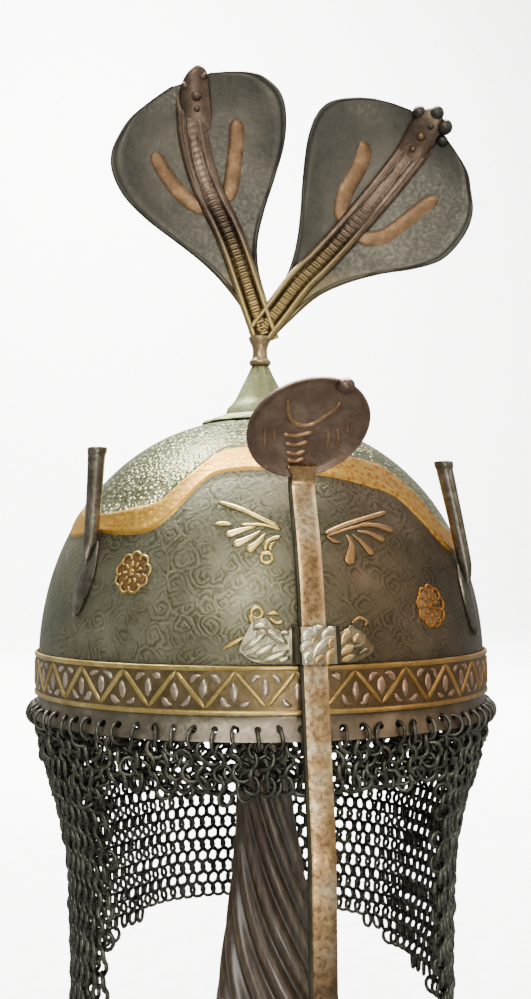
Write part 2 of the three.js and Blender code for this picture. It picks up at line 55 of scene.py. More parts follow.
def lookUp(table, key, column=1):
    # A smooth curve through the rows of a table
    last = len(table) - 1
    if key <= table[0][0]:
        return table[0][column]
    if key >= table[last][0]:
        return table[last][column]
    i = next(n for n in range(last) if key <= table[n + 1][0])
    span = table[i + 1][0] - table[i][0]

    def slope(n):
        low, high = table[max(n - 1, 0)], table[min(n + 1, last)]
        return span * (high[column] - low[column]) / (high[0] - low[0])

    t = (key - table[i][0]) / span
    start, end = table[i][column], table[i + 1][column]
    return ((2 * t ** 3 - 3 * t ** 2 + 1) * start + (t ** 3 - 2 * t ** 2 + t) * slope(i)
            + (3 * t ** 2 - 2 * t ** 3) * end + (t ** 3 - t ** 2) * slope(i + 1))


def smoothLine(points, steps):
    # Evenly spaced points on a curve through a few given ones
    knots = [Vector(p) for p in points]
    fine = []
    for i in range(len(knots) - 1):
        start, end = knots[i], knots[i + 1]
        before = knots[i - 1] if i else start
        after = knots[i + 2] if i + 2 < len(knots) else end
        for k in range(12):
            t = k / 12
            fine.append((start * 2 + (end - before) * t + (before * 2 - start * 5 + end * 4 - after) * t * t
                         + (start * 3 - before - end * 3 + after) * t ** 3) * 0.5)
    fine.append(knots[-1])
    reach = [0]
    for a, b in zip(fine, fine[1:]):
        reach.append(reach[-1] + (b - a).length)
    line, k = [], 0
    for i in range(steps + 1):
        want = reach[-1] * i / steps
        while k < len(fine) - 2 and reach[k + 1] < want:
            k += 1
        span = reach[k + 1] - reach[k]
        line.append(fine[k].lerp(fine[k + 1], (want - reach[k]) / span if span else 0))
    return line


def mapSheet(bm, columns, rows, place, paint=0):
    # A grid whose points are laid out by place(u, v); seams and poles that meet are joined
    verts = bmesh.ops.create_grid(bm, x_segments=columns, y_segments=rows, size=1)["verts"]
    for face in {face for vert in verts for face in vert.link_faces}:
        middle = face.calc_center_median()
        face.smooth = True
        face.material_index = paint((middle.x + 1) / 2, (middle.y + 1) / 2) if callable(paint) else paint
    for vert in verts:
        vert.co = place((vert.co.x + 1) / 2, (vert.co.y + 1) / 2)
    bmesh.ops.remove_doubles(bm, verts=verts, dist=0.002)


def closeEnds(bm):
    loose = [edge for edge in bm.edges if edge.is_boundary]
    if loose:
        bmesh.ops.holes_fill(bm, edges=loose, sides=0)


def stroke(bm, surface, line, half, relief=0.4, shape="line", steps=10, sink=0.3, paint=0, around=8):
    # A raised line, leaf or drop lying on surface(a, b, out); it dips under the surface by sink
    samples = smoothLine(line, steps)
    spots = [surface(p.x, p.y, 0) for p in samples]
    normals = [(surface(p.x, p.y, 1) - spot).normalized() for p, spot in zip(samples, spots)]
    widths = {"line": lambda t: min(1, 9 * t, 9 * (1 - t)) ** 0.5,
              "leaf": lambda t: math.sin(math.pi * t) ** 0.7,
              "drop": lambda t: (1.25 * t) ** 0.6 * min(1, 7 * (1 - t)) ** 0.5 if t < 1 else 0}[shape]

    def place(u, v):
        i = min(round(v * steps), steps)
        ahead = spots[min(i + 1, steps)] - spots[max(i - 1, 0)]
        side = normals[i].cross(ahead).normalized()
        turn = 2 * math.pi * u
        size = max(widths(i / steps), 0)
        lift = math.sin(turn) * (relief if turn < math.pi else sink) * min(1, size * 1.6)
        return spots[i] + side * half * size * math.cos(turn) + normals[i] * lift

    mapSheet(bm, around, steps, place, paint)


def addObject(name, bm, materials):
    # Turns the working mesh into an object of the scene
    mesh = bpy.data.meshes.new(name)
    bm.to_mesh(mesh)
    bm.free()
    for material in materials:
        mesh.materials.append(material)
    thing = bpy.data.objects.new(name, mesh)
    bpy.context.collection.objects.link(thing)
    return thing


def makePiece(name, bm, materials, replaces, body="helmet", sharp=None):
    bmesh.ops.recalc_face_normals(bm, faces=bm.faces)
    bmesh.ops.transform(bm, matrix=toRow, verts=bm.verts)
    piece = addObject(name, bm, materials)
    if sharp:
        piece.data.set_sharp_from_angle(angle=math.radians(sharp))
    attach(piece, body)
    if replaces:
        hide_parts(*replaces)
    print(f"{name}: {len(piece.data.polygons)} faces")


# Working tools: materials

def linear(hexColour):
    # An sRGB hex colour as the linear values that a shader takes
    parts = [int(hexColour[i:i + 2], 16) / 255 for i in (1, 3, 5)]
    return [c / 12.92 if c <= 0.04045 else ((c + 0.055) / 1.055) ** 2.4 for c in parts] + [1]


def addNode(tree, kind, inputs=None, stops=None, out=0, **settings):
    # Adds a node, sets it up, links or sets its inputs and gives back one of its outputs
    node = tree.nodes.new("ShaderNode" + kind)
    for key, value in settings.items():
        setattr(node, key, value)
    if stops:
        ramp = node.color_ramp
        while len(ramp.elements) < len(stops):
            ramp.elements.new(0.5)
        for element, (place, colour) in zip(ramp.elements, stops):
            element.position = place
            element.color = linear(colour) if isinstance(colour, str) else (colour, colour, colour, 1)
    for key, value in (inputs or {}).items():
        if isinstance(value, bpy.types.NodeSocket):
            tree.links.new(value, node.inputs[key])
        else:
            node.inputs[key].default_value = value
    return node.outputs[out]


def startMaterial(name, metallic, roughness):
    material = bpy.data.materials.new(name)
    material.use_nodes = True
    tree = material.node_tree
    shader = tree.nodes["Principled BSDF"]
    shader.inputs["Metallic"].default_value = metallic
    shader.inputs["Roughness"].default_value = roughness
    return material, tree, shader, addNode(tree, "TexCoord", out="Object")


def blend(tree, share, first, second, how="MIX"):
    # Mixes two colours
    return addNode(tree, "Mix", {0: share, 6: first, 7: second}, out=2, data_type="RGBA", blend_type=how)


def addShadeAndDirt(tree, shader, colour, shadeAndDirt, reach, stops):
    # The base colour, darkened where the surface is closed in by others within reach: painted shade in the
    # recesses, together with dirt
    hollow = addNode(tree, "AmbientOcclusion", {"Distance": reach}, out="AO", samples=6)
    shadeMask = addNode(tree, "ValToRGB", {"Fac": hollow}, stops=stops)
    tree.links.new(blend(tree, shadeMask, colour, linear(shadeAndDirt)), shader.inputs["Base Color"])


def cellRelief(tree, place, size, dull):
    # Grains of struck metal: from 0 between the grains over dull, on the darkest one, to 1 on the brightest;
    # as colour it paints glints on the grains and shade in the gaps
    grains = addNode(tree, "TexVoronoi", {"Vector": place, "Scale": 1000 / size, "Randomness": 0.8})
    dome = addNode(tree, "MapRange", {"Value": grains, "From Min": 0.62, "From Max": 0.18},
                   interpolation_type="SMOOTHSTEP")
    lot = addNode(tree, "SeparateXYZ", {"Vector": grains.node.outputs["Color"]})
    shine = addNode(tree, "MapRange", {"Value": lot, "To Min": dull, "To Max": 1.0})
    return addNode(tree, "Math", {0: dome, 1: shine}, operation="MULTIPLY")


def curlRelief(tree, place, size, line):
    # Etched foliage: a lobed spiral in every cell of a loose net laid on the surface, rubbed away in patches
    push, lobes, lobeDepth = size * 0.0009, 4.0, 0.7
    stir = addNode(tree, "TexNoise", {"Vector": place, "Scale": 1000 / size, "Detail": 3})
    shift = addNode(tree, "VectorMath", {0: stir.node.outputs["Color"], 1: (0.5,) * 3}, operation="SUBTRACT")
    place = addNode(tree, "VectorMath", {0: shift, 1: (push,) * 3, 2: place}, operation="MULTIPLY_ADD")
    net = addNode(tree, "TexVoronoi", {"Vector": place, "Scale": 1000 / size, "Randomness": 0.9},
                  out="Position")
    away = addNode(tree, "VectorMath", {0: place, 1: net}, operation="SUBTRACT")
    facing = addNode(tree, "NewGeometry", out="Normal")
    side = addNode(tree, "VectorMath", {0: (0, 0, 1), 1: facing}, operation="CROSS_PRODUCT")
    rise = addNode(tree, "VectorMath", {0: facing, 1: side}, operation="CROSS_PRODUCT")
    x, y = [addNode(tree, "VectorMath", {0: away, 1: way}, out="Value", operation="DOT_PRODUCT")
            for way in (side, rise)]
    turn = addNode(tree, "Math", {0: y, 1: x}, operation="ARCTAN2")
    flat = addNode(tree, "CombineXYZ", {"X": x, "Y": y})
    reach = addNode(tree, "VectorMath", {0: flat}, out="Value", operation="LENGTH")
    rounds = addNode(tree, "Math", {0: turn, 1: lobes}, operation="MULTIPLY")
    lobed = addNode(tree, "Math", {0: rounds}, operation="SINE")
    leafy = addNode(tree, "Math", {0: lobed, 1: lobeDepth, 2: turn}, operation="MULTIPLY_ADD")
    wind = addNode(tree, "Math", {0: reach, 1: 2 * math.pi * 1000 / line, 2: leafy}, operation="MULTIPLY_ADD")
    wave = addNode(tree, "Math", {0: wind}, operation="SINE")
    drawn = addNode(tree, "MapRange", {"Value": wave, "From Min": -0.5, "From Max": 0.9},
                    interpolation_type="SMOOTHSTEP")
    kept = addNode(tree, "MapRange", {"Value": stir, "From Min": 0.35, "From Max": 0.6})
    return addNode(tree, "Math", {0: drawn, 1: kept}, operation="MULTIPLY")


# Old metal: tones in soft patches, painted shade with dark dirt in the recesses, fine grain and hammered
# unevenness.
# rightShadeTint browns and darkens the side towards +X as painted shade and warm reflection, fade blends into
# another colour below a height, cells add a granulated relief with painted glints and shade, curls an etched
# one. Sizes in mm.
def oldMetal(name, dark, mid, light, shadeAndDirt, roughness=0.42, metallic=0.9, patch=14, grain=0.7, hammer=0.25,
             speckle=0.2, recess=2.0, recessDepth=0.75, rightShadeTint=None, fade=None, cells=None, curls=None):
    material, tree, shader, place = startMaterial(name, metallic, roughness)
    dentSize = 9
    patches = addNode(tree, "TexNoise", {"Vector": place, "Scale": 1000 / patch, "Detail": 5,
                                         "Roughness": 0.62})
    tone = addNode(tree, "ValToRGB", {"Fac": patches}, stops=[(0.3, dark), (0.5, mid), (0.68, light)])
    spots = addNode(tree, "TexNoise", {"Vector": place, "Scale": 1000 / (grain * 2.6), "Detail": 3})
    spotty = addNode(tree, "ValToRGB", {"Fac": spots}, stops=[(0.35, 1 - speckle), (0.65, 1.0)])
    colour = blend(tree, 1.0, tone, spotty, "MULTIPLY")
    # painted shade and warm reflection: the side towards +X is browned and darkened
    if rightShadeTint:
        across = addNode(tree, "SeparateXYZ", {"Vector": place})
        side = addNode(tree, "Math", {0: patches, 1: 0.06, 2: across}, operation="MULTIPLY_ADD")
        share = addNode(tree, "MapRange", {"Value": side, "From Min": 0.008, "From Max": 0.055})
        colour = blend(tree, share, colour, blend(tree, 1.0, colour, linear(rightShadeTint), "MULTIPLY"))
    if fade:
        up = addNode(tree, "SeparateXYZ", {"Vector": place}, out="Z")
        share = addNode(tree, "MapRange", {"Value": up, "From Min": fade["high"] * 0.001,
                                           "From Max": fade["low"] * 0.001})
        lower = blend(tree, 1.0, linear(fade["colour"]), spotty, "MULTIPLY")
        colour = blend(tree, share, colour, lower)
    height = addNode(tree, "Bump", {"Strength": 0.5, "Distance": grain * 0.0002, "Height": spots})
    if cells:
        pattern = cellRelief(tree, place, cells["size"], cells["dull"])
        # painted glints and shade: the grains' middles keep the colour, brighter on some grains, and the gaps
        # between them go dark
        colour = blend(tree, pattern, linear(cells["gapShade"]), colour)
        height = addNode(tree, "Bump", {"Strength": 1.0, "Distance": cells["depth"] * 0.001,
                                        "Height": pattern, "Normal": height})
    if curls:
        pattern = curlRelief(tree, place, curls["size"], curls["line"])
        colour = blend(tree, pattern, colour, blend(tree, 1.0, colour, linear(curls["shade"]), "MULTIPLY"))
        height = addNode(tree, "Bump", {"Strength": 1.0, "Distance": curls["depth"] * -0.001,
                                        "Height": pattern, "Normal": height})
    # painted shade and dirt: the ambient occlusion darkens the recesses by recessDepth
    addShadeAndDirt(tree, shader, colour, shadeAndDirt, recess * 0.001, [(0.35, recessDepth), (0.95, 0.0)])
    rough = addNode(tree, "MapRange", {"Value": spots, "From Min": 0.3, "From Max": 0.7,
                                       "To Min": roughness - 0.08, "To Max": roughness + 0.12})
    tree.links.new(rough, shader.inputs["Roughness"])
    dents = addNode(tree, "TexNoise", {"Vector": place, "Scale": 1000 / dentSize, "Detail": 2})
    uneven = addNode(tree, "Bump", {"Strength": 1.0, "Distance": hammer * 0.001, "Height": dents,
                                    "Normal": height})
    tree.links.new(uneven, shader.inputs["Normal"])
    return material


# Bowl: one shell of steel with a gilt border round its crown, and 80 holes along its edge
bowl = {
    "radius": 105.5, "wall": 2.4, "sideTop": 22.7, "top": 139, "stripTop": 9.4, "flare": 3.5,
    "rise": 2.06, "across": 2.2, "flatTop": 120, "rimRows": 11,
    "fieldBottom": 29, "fieldRows": 22, "crownRows": 22, "insideRows": 16, "columns": 320,
    "holes": 80, "holeRadius": 1.35, "holeHeight": 4.6, "pinLength": 9, "pinMiddle": 107,
    # Angle from the front, lower edge and upper edge of the gilt border
    "border": [
        (-200, 80, 92), (-180, 79, 89), (-160, 80, 92), (-148, 92, 105), (-135, 104, 116), (-120, 106, 118),
        (-105, 103, 115), (-92, 92, 104), (-80, 82, 93), (-60, 82.4, 91), (-48, 81, 93), (-40, 82.5, 96),
        (-35, 88.5, 105), (-30, 99.5, 112.5), (-25, 106, 118), (-10, 108, 119.5), (13, 105, 117.5),
        (25, 101.5, 115.5), (34, 97.5, 114), (40, 88, 112), (46, 77.5, 103), (52, 73.3, 89), (62, 72.5, 83),
        (76, 76, 87), (90, 92, 105), (105, 103, 115), (120, 106, 118), (135, 104, 116), (148, 92, 105),
        (160, 80, 92), (180, 79, 89), (200, 80, 92)],
    # Share of the border's width, how far it stands out
    "borderRelief": [(0, 0.05), (0.05, 0.5), (0.12, 0.68), (0.2, 0.5), (0.36, 0.42), (0.62, 0.42), (0.8, 0.5),
                     (0.88, 0.64), (0.95, 0.45), (1, 0.05)],
}


def bowlRadius(z):
    # A flared strip at the rim, then the dome
    if z < bowl["stripTop"]:
        return bowl["radius"] + bowl["flare"] * ((bowl["stripTop"] - z) / bowl["stripTop"]) ** 1.5
    up = min(max(0, (z - bowl["sideTop"]) / (bowl["top"] - bowl["sideTop"])), 1)
    return bowl["radius"] * (1 - up ** bowl["rise"]) ** (1 / bowl["across"])


def bowlHeight(radius):
    # The same curve the other way round: height by distance from the axis
    up = (1 - (radius / bowl["radius"]) ** bowl["across"]) ** (1 / bowl["rise"])
    return bowl["sideTop"] + (bowl["top"] - bowl["sideTop"]) * up


def onBowl(angle, z, out):
    # A point on the bowl's outside, or above it
    if z >= bowl["flatTop"]:
        return onCrown(angle, bowlRadius(z), out)
    slope = (bowlRadius(z + 0.2) - bowlRadius(max(z - 0.2, 0))) / (min(z, 0.2) + 0.2)
    size = math.hypot(1, slope)
    return polar(angle, bowlRadius(z) + out / size, z - out * slope / size)


def onCrown(angle, radius, out):
    # The same for the flat top, found by its distance from the axis
    slope = (bowlHeight(radius + 0.3) - bowlHeight(max(radius - 0.3, 0))) / (min(radius, 0.3) + 0.3)
    size = math.hypot(1, slope)
    return polar(angle, radius - out * slope / size, bowlHeight(radius) + out / size)


def border(angle, share):
    # Height on the gilt border, from its lower edge at share 0 to its upper edge at 1
    return lookUp(bowl["border"], angle, 1) * (1 - share) + lookUp(bowl["border"], angle, 2) * share


def bowlRows():
    # The shell's section as rows of points: round the rim, up the outside, over the crown, down the inside.
    # Also gives the number of rows before the border, before the crown and before the inside.
    def level(radius, z):
        return lambda angle: polar(angle, radius, z)

    rows = [level(r, z) for r, z in [(106.7, 0.4), (107.2, 0.05), (108.2, 0.0), (108.8, 0.2)]]
    rows += [(lambda angle, z=z: onBowl(angle, z, 0)) for z in
             [0.8, 1.8, 3, 4.2, 5.4, 6.6, 8, 9.4, 12, 16, 21, 25, 29]]
    low = bowl["fieldBottom"]
    for k in range(1, bowl["fieldRows"]):
        rows.append(lambda angle, share=k / bowl["fieldRows"]: onBowl(
            angle, low + share * (lookUp(bowl["border"], angle, 1) - 0.3 - low), 0))
    first = len(rows)
    for share, out in bowl["borderRelief"]:
        rows.append(lambda angle, share=share, out=out: onBowl(angle, border(angle, share), out))
    last = len(rows)
    for k in range(1, bowl["crownRows"] + 1):
        rows.append(lambda angle, share=k / bowl["crownRows"]: onCrown(
            angle, (1 - share) * bowlRadius(lookUp(bowl["border"], angle, 2) + 0.3), 0))
    inside = len(rows)
    wall, radius = bowl["wall"], bowl["radius"]
    reach = radius - wall
    for k in range(bowl["insideRows"]):
        size = math.sin(math.radians(90 * k / bowl["insideRows"])) * reach
        rows.append(level(size, bowlHeight(size * radius / reach) - wall * math.sin(math.acos(size / reach))))
    rows += [level(r, z) for r, z in [(reach, bowl["sideTop"]), (reach, bowl["stripTop"]), (105.2, 3.5),
                                      (106.4, 1.0), (106.7, 0.4)]]
    return rows, first, last, inside


def cutHoles(bm):
    # The holes are cut out of the shell by a ring of small pins
    pins = bmesh.new()
    for i in range(bowl["holes"]):
        angle = (i + 0.5) / bowl["holes"] * 360
        aim = polar(angle, 1, 0)
        place = Matrix.Translation(aim * bowl["pinMiddle"] + Vector((0, 0, bowl["holeHeight"])))
        bmesh.ops.create_cone(pins, cap_ends=True, segments=12, radius1=bowl["holeRadius"],
                              radius2=bowl["holeRadius"], depth=bowl["pinLength"],
                              matrix=place @ aim.to_track_quat("Z", "Y").to_matrix().to_4x4())
    # painted shade: the pins' faces carry material 3, the dark iron, onto the hole walls
    for face in pins.faces:
        face.material_index = 3
    both = []
    for name, source in (("shell", bm.copy()), ("pins", pins)):
        bmesh.ops.recalc_face_normals(source, faces=source.faces)
        both.append(addObject(name, source, [None] * 5))
    shell, tool = both
    cut = shell.modifiers.new("holes", "BOOLEAN")
    cut.operation, cut.solver, cut.object = "DIFFERENCE", "EXACT", tool
    evaluated = shell.evaluated_get(bpy.context.evaluated_depsgraph_get())
    bm.clear()
    bm.from_mesh(evaluated.to_mesh())
    for thing in both:
        mesh = thing.data
        bpy.data.objects.remove(thing)
        bpy.data.meshes.remove(mesh)


def makeBowl(materials):
    rows, first, last, inside = bowlRows()
    top = len(rows) - 1

    def place(u, v):
        return rows[round(v * top)](u * 360 - 180)

    def paint(u, v):
        row = v * top
        if row < bowl["rimRows"] or row > top - 2:
            return 4
        if row > inside - 1:
            return 3
        if row > last - 1:
            return 2
        return 1 if row > first else 0

    bm = bmesh.new()
    mapSheet(bm, bowl["columns"], top, place, paint)
    cutHoles(bm)
    makePiece("bowl_shell", bm, materials, ["bowl"], sharp=50)


# Gilt ornament laid on the bowl. Every line is a list of (angle from the front, height).
inlay = {
    "wingLeft": [
        # half width, relief, shape, line
        (1.2, 0.75, "line", [(-22.4, 94.2), (-16, 91), (-9.8, 86.3), (-5.2, 82.7)]),
        (0.75, 0.6, "line", [(-5.2, 82.2), (-10.2, 84.3), (-15.7, 84.3)]),
        (1.3, 0.8, "leaf", [(-17.6, 84.4), (-20, 84.8), (-22.6, 84.6)]),
        (1.7, 0.85, "drop", [(-11.2, 83.6), (-14.9, 82.3), (-19.3, 79.9)]),
        (1.8, 0.85, "drop", [(-10.2, 82.2), (-13.1, 79), (-17.4, 75.8)]),
        (1.9, 0.85, "drop", [(-9.2, 81), (-11.2, 76.9), (-14, 73.4)]),
        (1.0, 0.75, "line", [(-5.3, 79.4), (-7.5, 78.5), (-9.1, 76.5), (-9.5, 73.3)]),
        (1.0, 0.75, "leaf", [(-6.8, 77.4), (-8.2, 75.4), (-8, 73.2)]),
    ],
    "wingRight": [
        (1.2, 0.7, "line", [(5, 80.2), (13.3, 85.1), (27.4, 90.6)]),
        (0.75, 0.6, "line", [(5.6, 79.4), (11.4, 82.3), (20.3, 85.9)]),
        (1.7, 0.75, "drop", [(15, 84), (21, 84.4), (26.6, 82)]),
        (1.7, 0.75, "drop", [(14.5, 82), (18.5, 80.8), (22.6, 77.6)]),
        (1.8, 0.75, "drop", [(13.1, 80.7), (15.4, 77), (17.9, 71.8)]),
        (2.6, 0.75, "drop", [(11.4, 80.7), (12.3, 76.1), (10.5, 67.6)]),
        (0.9, 0.7, "leaf", [(5.9, 79.8), (7.5, 77.8), (9.8, 76.8)]),
    ],
    "scroll": [
        (1.3, 0.8, "line", [(-12.8, 49.2), (-12.4, 46.2), (-11.1, 44.2), (-9.4, 43.4)]),
        (1.2, 0.75, "leaf", [(-18.8, 35.3), (-16.4, 37.8), (-13.7, 40.4)]),
        (0.9, 0.7, "leaf", [(-9.4, 48.6), (-7.6, 49.4), (-6.4, 48.4)]),
        (0.9, 0.7, "line", [(-8.8, 47.6), (-7.2, 45.6), (-5.6, 46.2)]),
        (0.75, 0.7, "line", [(9.4, 44.6), (11.6, 47), (13.4, 45.6), (12.6, 43.6)]),
    ],
    # angle and height of each curl's ring
    "rings": [(-9.1, 70.8), (-11.4, 49.4)],
    # angle and height of each rosette's middle
    "rosettes": [(-42.4, 65.2), (33.2, 50.8), (-112, 60), (112, 60), (-163, 52), (163, 52)],
    "petals": 9,
    # turn and distance from the rosette's middle: a curled petal, a small leaf inside it and the eye
    "petal": [(0.35, 5.4), (0.5, 7.6), (0.15, 8.9), (-0.2, 7.8), (-0.15, 6.2)],
    "innerLeaf": [(0.2, 2.4), (0.4, 3.8), (0.25, 5.2)],
    "eye": [(0, 1.2), (2.1, 1.2), (4.2, 1.2), (6.2, 1.2)],
    "wash": [6.6, 4, 2],
}


def beside(angle, z, x, y):
    # The place x mm to the side of and y mm above a place on the bowl, measured on its surface
    slope = (bowlRadius(z + 0.3) - bowlRadius(z - 0.3)) / 0.6
    return angle + math.degrees(x / bowlRadius(z)), z + y / math.hypot(1, slope)


def makeInlay(materials):
    bm = bmesh.new()
    for part in ("wingLeft", "wingRight", "scroll"):
        for half, relief, shape, line in inlay[part]:
            stroke(bm, onBowl, line, half, relief, shape, steps=14, paint=1 if line[0][0] > 0 else 0)
    for angle, z in inlay["rings"]:
        ring = [beside(angle, z, 2.2 * math.cos(k), 2.2 * math.sin(k)) for k in range(8)]
        stroke(bm, onBowl, ring, 0.95, 0.8, steps=26)
    for angle, z in inlay["rosettes"]:
        def around(line, turned=0):
            return [beside(angle, z, reach * math.cos(turned + turn), reach * math.sin(turned + turn))
                    for turn, reach in line]
        for width in inlay["wash"]:
            # a thin gilt wash under the petals
            hoop = around([(turn, width) for turn in (0, 1.6, 3.2, 4.8, 6.3)])
            stroke(bm, onBowl, hoop, 2.2, 0.15, steps=20, paint=1)
        for k in range(inlay["petals"]):
            turn = 2 * math.pi * k / inlay["petals"]
            stroke(bm, onBowl, around(inlay["petal"], turn), 0.72, 0.7, steps=10, paint=2)
            stroke(bm, onBowl, around(inlay["innerLeaf"], turn), 0.8, 0.7, "leaf", steps=6, paint=2)
        stroke(bm, onBowl, around(inlay["eye"]), 0.75, 0.8, steps=9, paint=2)
    makePiece("bowl_inlay", bm, materials, [])


# Brow band: a hoop with raised borders, a zigzag and a three-leaved sprig in every field of it
band = {"bottom": 9.9, "top": 29.2, "inner": 105.95, "outer": 106.7, "teeth": 28, "turn": -3.1}


def onBand(angle, z, out):
    return polar(angle, band["outer"] + out, z)


def makeBand(materials):
    bm = bmesh.new()
    low, high = band["bottom"], band["top"]
    inner, outer = band["inner"], band["outer"]
    # distance from the axis and height round the hoop's section
    section = [(inner, low), (outer, low), (107.1, low + 0.3), (107.25, low + 1.0), (107.1, low + 1.7),
               (outer, low + 2.1), (outer, low + 6), (outer, high - 6), (outer, high - 2.1),
               (107.1, high - 1.7), (107.25, high - 1.0), (107.1, high - 0.3), (outer, high), (inner, high),
               (inner, low)]
    last = len(section) - 1

    def place(u, v):
        radius, z = section[round(v * last)]
        return polar(u * 360, radius, z)

    mapSheet(bm, 280, last, place, lambda u, v: 0 if 5 < v * last < 8 else 1)
    step = 360 / band["teeth"]
    floor, roof = low + 2.3, high - 2.3
    rng = random.Random(5)
    for k in range(band["teeth"]):
        peak = band["turn"] + k * step
        for side in (-1, 1):
            worn = rng.uniform(0, 1.2)
            stroke(bm, onBand, [(peak, roof), (peak + side * step / 2, floor + worn)], rng.uniform(0.85, 1.1),
                   0.55, steps=8, paint=1)
        # a standing sprig under each peak and a hanging one over each valley, each cut a little differently
        for middle, root, way in ((peak, floor + 0.4, 1), (peak + step / 2, roof - 0.4, -1)):
            lean = rng.uniform(-0.5, 0.5)
            stroke(bm, onBand, [(middle + lean / 3, root + way * 2.4), (middle + lean, root + way * 10)],
                   rng.uniform(1.5, 2.0), 0.55, "leaf", 6, paint=2)
            for side in (-1, 1):
                reach, rise = rng.uniform(2.9, 3.6), rng.uniform(2.6, 5.4)
                leaf = [(0.8, 1.2), (2.1, 1.6), (reach, rise)]
                stroke(bm, onBand, [(middle + side * across, root + way * up) for across, up in leaf],
                       rng.uniform(1.0, 1.4), 0.5, "leaf", 6, paint=2)
    makePiece("brow_hoop", bm, materials, ["brow_band"], sharp=40)


# Crown: a lobed plate that rises to a hollow-sided cone, and the turned stem on it
crown = {
    "lobes": 12, "ribs": 6,
    # Distance from the axis, where the bowl's height is taken, height over it
    "plate": [(0, 0, 0), (12, 12, 0), (20, 20, 0), (27, 27, 0), (27.8, 28, 0.3), (28, 28, 0.8),
              (27.5, 28, 1.4), (26.6, 27, 1.9), (24, 24, 1.7), (22, 22, 1.5), (20.8, 20, 2.2), (20, 20, 2.8),
              (18.6, 18.6, 2.8), (17.4, 17.4, 2.6)],
    # Distance from the axis, height
    "cone": [(15.9, 145), (14.2, 146.6), (12.4, 149.2), (10.8, 152.2), (9.3, 155.4), (7.8, 158.4),
             (6.4, 161.2), (5.4, 163.4), (4.6, 165.2), (4.2, 165.6), (0, 165.6)],
    "stem": [(0, 165.95), (4.3, 165.95), (4.8, 166.25), (5.3, 167.05), (5.4, 167.65), (5.1, 168.45),
             (4.5, 168.95), (4.1, 169.6), (3.7, 170.8), (3.55, 172.2), (3.6, 174), (3.9, 175.6), (4.5, 177),
             (5.0, 178), (5.3, 178.6), (5.55, 179.3), (5.5, 180), (5.2, 180.35), (0, 180.4)],
}


def spinProfile(profile, columns, reshape=None):
    bm = bmesh.new()
    last = len(profile) - 1

    def place(u, v):
        radius, z = profile[round(v * last)]
        if reshape:
            radius = reshape(radius, z, u * 360)
        return polar(u * 360, radius, z)

    mapSheet(bm, columns, last, place)
    return bm


def makeCrown(materials, stemMaterials):
    def lobe(radius, z, angle):
        # lobes round the plate's edge, and shallow ribs down the cone
        share = min(max((radius - 17) / 9, 0), 1)
        rib = abs(math.cos(math.radians(angle * crown["ribs"]))) if z > 145 else 0
        ribs = 0.35 * rib * min(1, max(0, 16 - radius) / 6)
        return radius + share * 0.75 * math.cos(math.radians(crown["lobes"] * angle)) - ribs

    plate = [(radius, bowlHeight(at) + 0.35 + up) for radius, at, up in crown["plate"]]
    bm = spinProfile(plate + crown["cone"], 144, lobe)
    makePiece("crown_finial", bm, materials, ["crown_cone"], sharp=45)
    bm = spinProfile(crown["stem"], 40)
    makePiece("crest_stem", bm, stemMaterials, ["finial_stem"], sharp=50)


